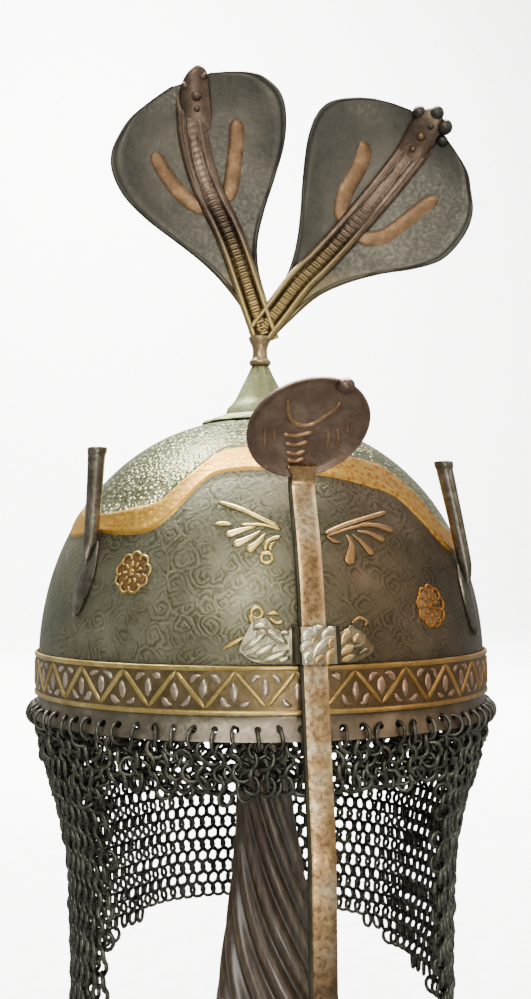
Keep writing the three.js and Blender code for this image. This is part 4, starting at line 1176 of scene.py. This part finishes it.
materials = {
    "steel": oldMetal("etched steel, patinated", "#5a5946", "#6e6c56", "#84826c", "#332f22", roughness=0.42,
                      metallic=0.85, patch=30, grain=0.5, hammer=0.2, rightShadeTint="#c2aaa0",
                      curls={"size": 9, "line": 2.3, "shade": "#c4c0b0", "depth": 0.07}),
    "gold": oldMetal("worn fire gilding", "#a87418", "#c89022", "#deac34", "#5c4010", roughness=0.42,
                     patch=10, rightShadeTint="#cca684",
                     cells={"size": 2.8, "gapShade": "#b08838", "dull": 0.8, "depth": 0.07}),
    "inlayGold": oldMetal("pale gilt wire", "#bea254", "#d6bc6e", "#ead694", "#5c4c2a", roughness=0.34),
    "inlayCopper": oldMetal("gilding worn to copper", "#765838", "#906c44", "#aa8656", "#402e1c",
                            roughness=0.4),
    "inlayBrown": oldMetal("gilding worn brown", "#9a7e46", "#b29452", "#c8ac62", "#5a4826", roughness=0.38,
                           rightShadeTint="#d8a880"),
    "crownField": oldMetal("silvered granulation", "#a6a67c", "#bebc90", "#e0deb4", "#5e5e3c", roughness=0.32,
                           grain=1.0, cells={"size": 2.0, "gapShade": "#5c5c3a", "dull": 0.25, "depth": 0.3}),
    # lining: the bowl's inside in black iron, and painted shade on the bar's left side, the bridge's recesses
    # and underside, the rim's hole walls and the tubes' bores
    "lining": oldMetal("black iron, also painted shade", "#302e22", "#3c3a2c", "#4c4a3a", "#16140e", roughness=0.6),
    "rim": oldMetal("bare steel edge", "#5e5848", "#746c5c", "#8c8476", "#2e281c", roughness=0.38,
                    rightShadeTint="#dac6b6"),
    "ground": oldMetal("gilt ground, rubbed brown", "#5a4e32", "#6a5c40", "#7e6e4e", "#3a2e1e",
                       roughness=0.42, patch=8, rightShadeTint="#dcc4b4"),
    "bandLine": oldMetal("brass line", "#9c864c", "#b29a5a", "#ccb474", "#54442a", roughness=0.36,
                         rightShadeTint="#dcc0ac"),
    "bandLeaf": oldMetal("silvered leaf, tarnished", "#94836e", "#ae9d8a", "#c8baa8", "#4c3c28",
                         roughness=0.34, rightShadeTint="#d8bca8"),
    "patina": oldMetal("green patina on bronze", "#767a50", "#929468", "#b0b088", "#484c2c", roughness=0.5,
                       speckle=0.3),
    "brass": oldMetal("rubbed brass", "#7c6a4a", "#94805c", "#aa9872", "#40341f", roughness=0.38),
    # The fade on both paints glare: the cobras' necks turn lighter low down near the fork as a painted
    # highlight
    "bronze": oldMetal("dark bronze", "#373630", "#413f38", "#4d4a42", "#1c1914", roughness=0.42, patch=40,
                       speckle=0.08, fade={"colour": "#84744e", "low": 424, "high": 456}),
    "scales": oldMetal("rubbed bronze scales with painted glare low down", "#4c3f35", "#5a4b3f", "#6c5b4e", "#221a12", roughness=0.4,
                       recess=1.2, fade={"colour": "#a8935f", "low": 428, "high": 476}),
    "copper": oldMetal("copper mark", "#54422e", "#664f38", "#7c6246", "#362819", roughness=0.45, patch=8),
    "bar": oldMetal("worn copper bar", "#8a6a44", "#b08e62", "#dcc8a0", "#4c3a24", roughness=0.28, patch=16,
                    speckle=0.22, fade={"colour": "#5e4c36", "low": 150, "high": 205}),
    "disc": oldMetal("browned copper", "#5c4c40", "#6e5b4d", "#82705f", "#30251c", roughness=0.38),
    "line": oldMetal("copper lines", "#70563f", "#84674c", "#9c7c5e", "#403020", roughness=0.38),
    "leafSilver": oldMetal("silvered leaf", "#aaa07c", "#c8be9c", "#e6e0c6", "#7a6e50", roughness=0.28,
                           patch=5, recessDepth=0.35),
    "leafCopper": oldMetal("leaf gilding on copper", "#9c7e50", "#b89864", "#d6ba86", "#604a32",
                           roughness=0.32, recessDepth=0.4),
    "plate": oldMetal("tarnished silver plate", "#8a866a", "#a49e82", "#bcb69a", "#585240", roughness=0.36,
                      patch=6, recessDepth=0.45, rightShadeTint="#a89480"),
    "tube": oldMetal("dark steel tube", "#48443a", "#605a4e", "#7c766a", "#24211a", roughness=0.34, patch=8),
    "mail": oldMetal("mail wire", "#3e3e36", "#504f46", "#6a695e", "#1c1b16", roughness=0.34, recess=2.4,
                     recessDepth=0.8),
    "wood": waxedWood("waxed dark wood"),
}


def pick(*names):
    return [materials[name] for name in names]


makeBowl(pick("steel", "gold", "crownField", "lining", "rim"))
makeInlay(pick("inlayGold", "inlayCopper", "inlayBrown"))
makeBand(pick("ground", "bandLine", "bandLeaf"))
makeCrown(pick("patina"), pick("brass"))
for side in ("left", "right"):
    makeCobra(side, pick("bronze", "scales", "copper"))
makeNasal(pick("bar", "disc", "line", "lining"))
makeBracket(pick("leafSilver", "plate", "leafCopper", "lining"))
for name in plumes:
    makePlume(name, pick("tube", "lining"))
makeMail(pick("mail"))
makeStand(pick("wood"))


# Camera, floor and light

# Degrees and metres: the camera looks up a little at a helmet turned to its own left
view = {
    "pitch": 3.58, "yaw": 0.26, "roll": -0.23, "turn": -10.5, "distance": 0.534, "height": 0.3069,
    "lens": 39.53, "sensor": 36, "nearest": 0.02,
}


def addCamera():
    pitch, yaw, roll = (math.radians(view[key]) for key in ("pitch", "yaw", "roll"))
    forward = Vector((math.sin(yaw) * math.cos(pitch), math.cos(yaw) * math.cos(pitch), math.sin(pitch)))
    right = Vector((math.cos(yaw), -math.sin(yaw), 0))
    up = right.cross(forward)
    right, up = right * math.cos(roll) + up * math.sin(roll), up * math.cos(roll) - right * math.sin(roll)
    aim = Matrix((right, up, -forward)).transposed().to_4x4()
    camera = bpy.data.objects.new("camera", bpy.data.cameras.new("camera"))
    camera.data.lens = view["lens"]
    camera.data.sensor_width = view["sensor"]
    camera.data.clip_start = view["nearest"]
    camera.matrix_world = (Matrix.Rotation(math.radians(view["turn"]), 4, "Z")
                           @ Matrix.Translation((0, -view["distance"], view["height"])) @ aim)
    bpy.context.collection.objects.link(camera)
    bpy.context.scene.camera = camera


def paintedWall(name, colour):
    # Matt white emulsion: a faint roller texture and no shine
    material, tree, shader, place = startMaterial(name, 0.0, 0.85)
    noise = addNode(tree, "TexNoise", {"Vector": place, "Scale": 60, "Detail": 2})
    tone = addNode(tree, "ValToRGB", {"Fac": noise}, stops=[(0.3, colour), (0.7, "#ffffff")])
    tree.links.new(tone, shader.inputs["Base Color"])
    bump = addNode(tree, "Bump", {"Strength": 0.1, "Distance": 0.0004, "Height": noise})
    tree.links.new(bump, shader.inputs["Normal"])
    return material


def addStage():
    bm = bmesh.new()
    # the floor runs back 5 m and curves up into the wall
    back, bend, height, halfWidth = 4.6, 0.5, 6, 8
    section = [(-4, 0), (back, 0)]
    for angle in range(10, 91, 10):
        turn = math.radians(angle)
        section.append((back + bend * math.sin(turn), bend - bend * math.cos(turn)))
    section.append((back + bend, height))
    last = len(section) - 1

    def place(u, v):
        y, z = section[round(v * last)]
        return Vector((halfWidth * (2 * u - 1), y, z))

    mapSheet(bm, 8, last, place)
    floor = addObject("studio_floor", bm, [paintedWall("matt white paint", "#f4f4f0")])
    # the polished pieces don't mirror the bright paper behind them
    floor.visible_glossy = False


def addLight(name, spot, target, size, power, colour):
    light = bpy.data.lights.new(name, "AREA")
    light.shape, light.size, light.energy = "DISK", size, power
    light.color = linear(colour)[:3]
    lamp = bpy.data.objects.new(name, light)
    aim = (Vector(target) - Vector(spot)).to_track_quat("-Z", "Y").to_matrix().to_4x4()
    lamp.matrix_world = Matrix.Translation(spot) @ aim
    lamp.visible_camera = False
    bpy.context.collection.objects.link(lamp)


def lightStudio():
    world = bpy.data.worlds.new("studio")
    world.use_nodes = True
    bpy.context.scene.world = world
    sky = world.node_tree.nodes["Background"]
    sky.inputs["Color"].default_value = linear("#f6f7f5")
    sky.inputs["Strength"].default_value = 0.5
    addLight("key", (-0.42, -1.3, 1.1), (0, 0, 0.3), 0.8, 19, "#fffaf2")
    addLight("low front", (0.02, -1.35, 0.1), (0, 0, 0.25), 0.25, 6.5, "#fffaf2")
    addLight("fill", (1.2, -0.9, 1.0), (0, 0, 0.3), 1.1, 7, "#fff4e6")
    addLight("top", (0.25, -0.55, 1.8), (0, 0, 0.35), 0.7, 5.5, "#fffcf4")
    addLight("backdrop", (0, 1.5, 3.4), (0, 3.8, 0.6), 3.0, 1650, "#ffffff")


addCamera()
addStage()
lightStudio()
print("stage and light are ready")
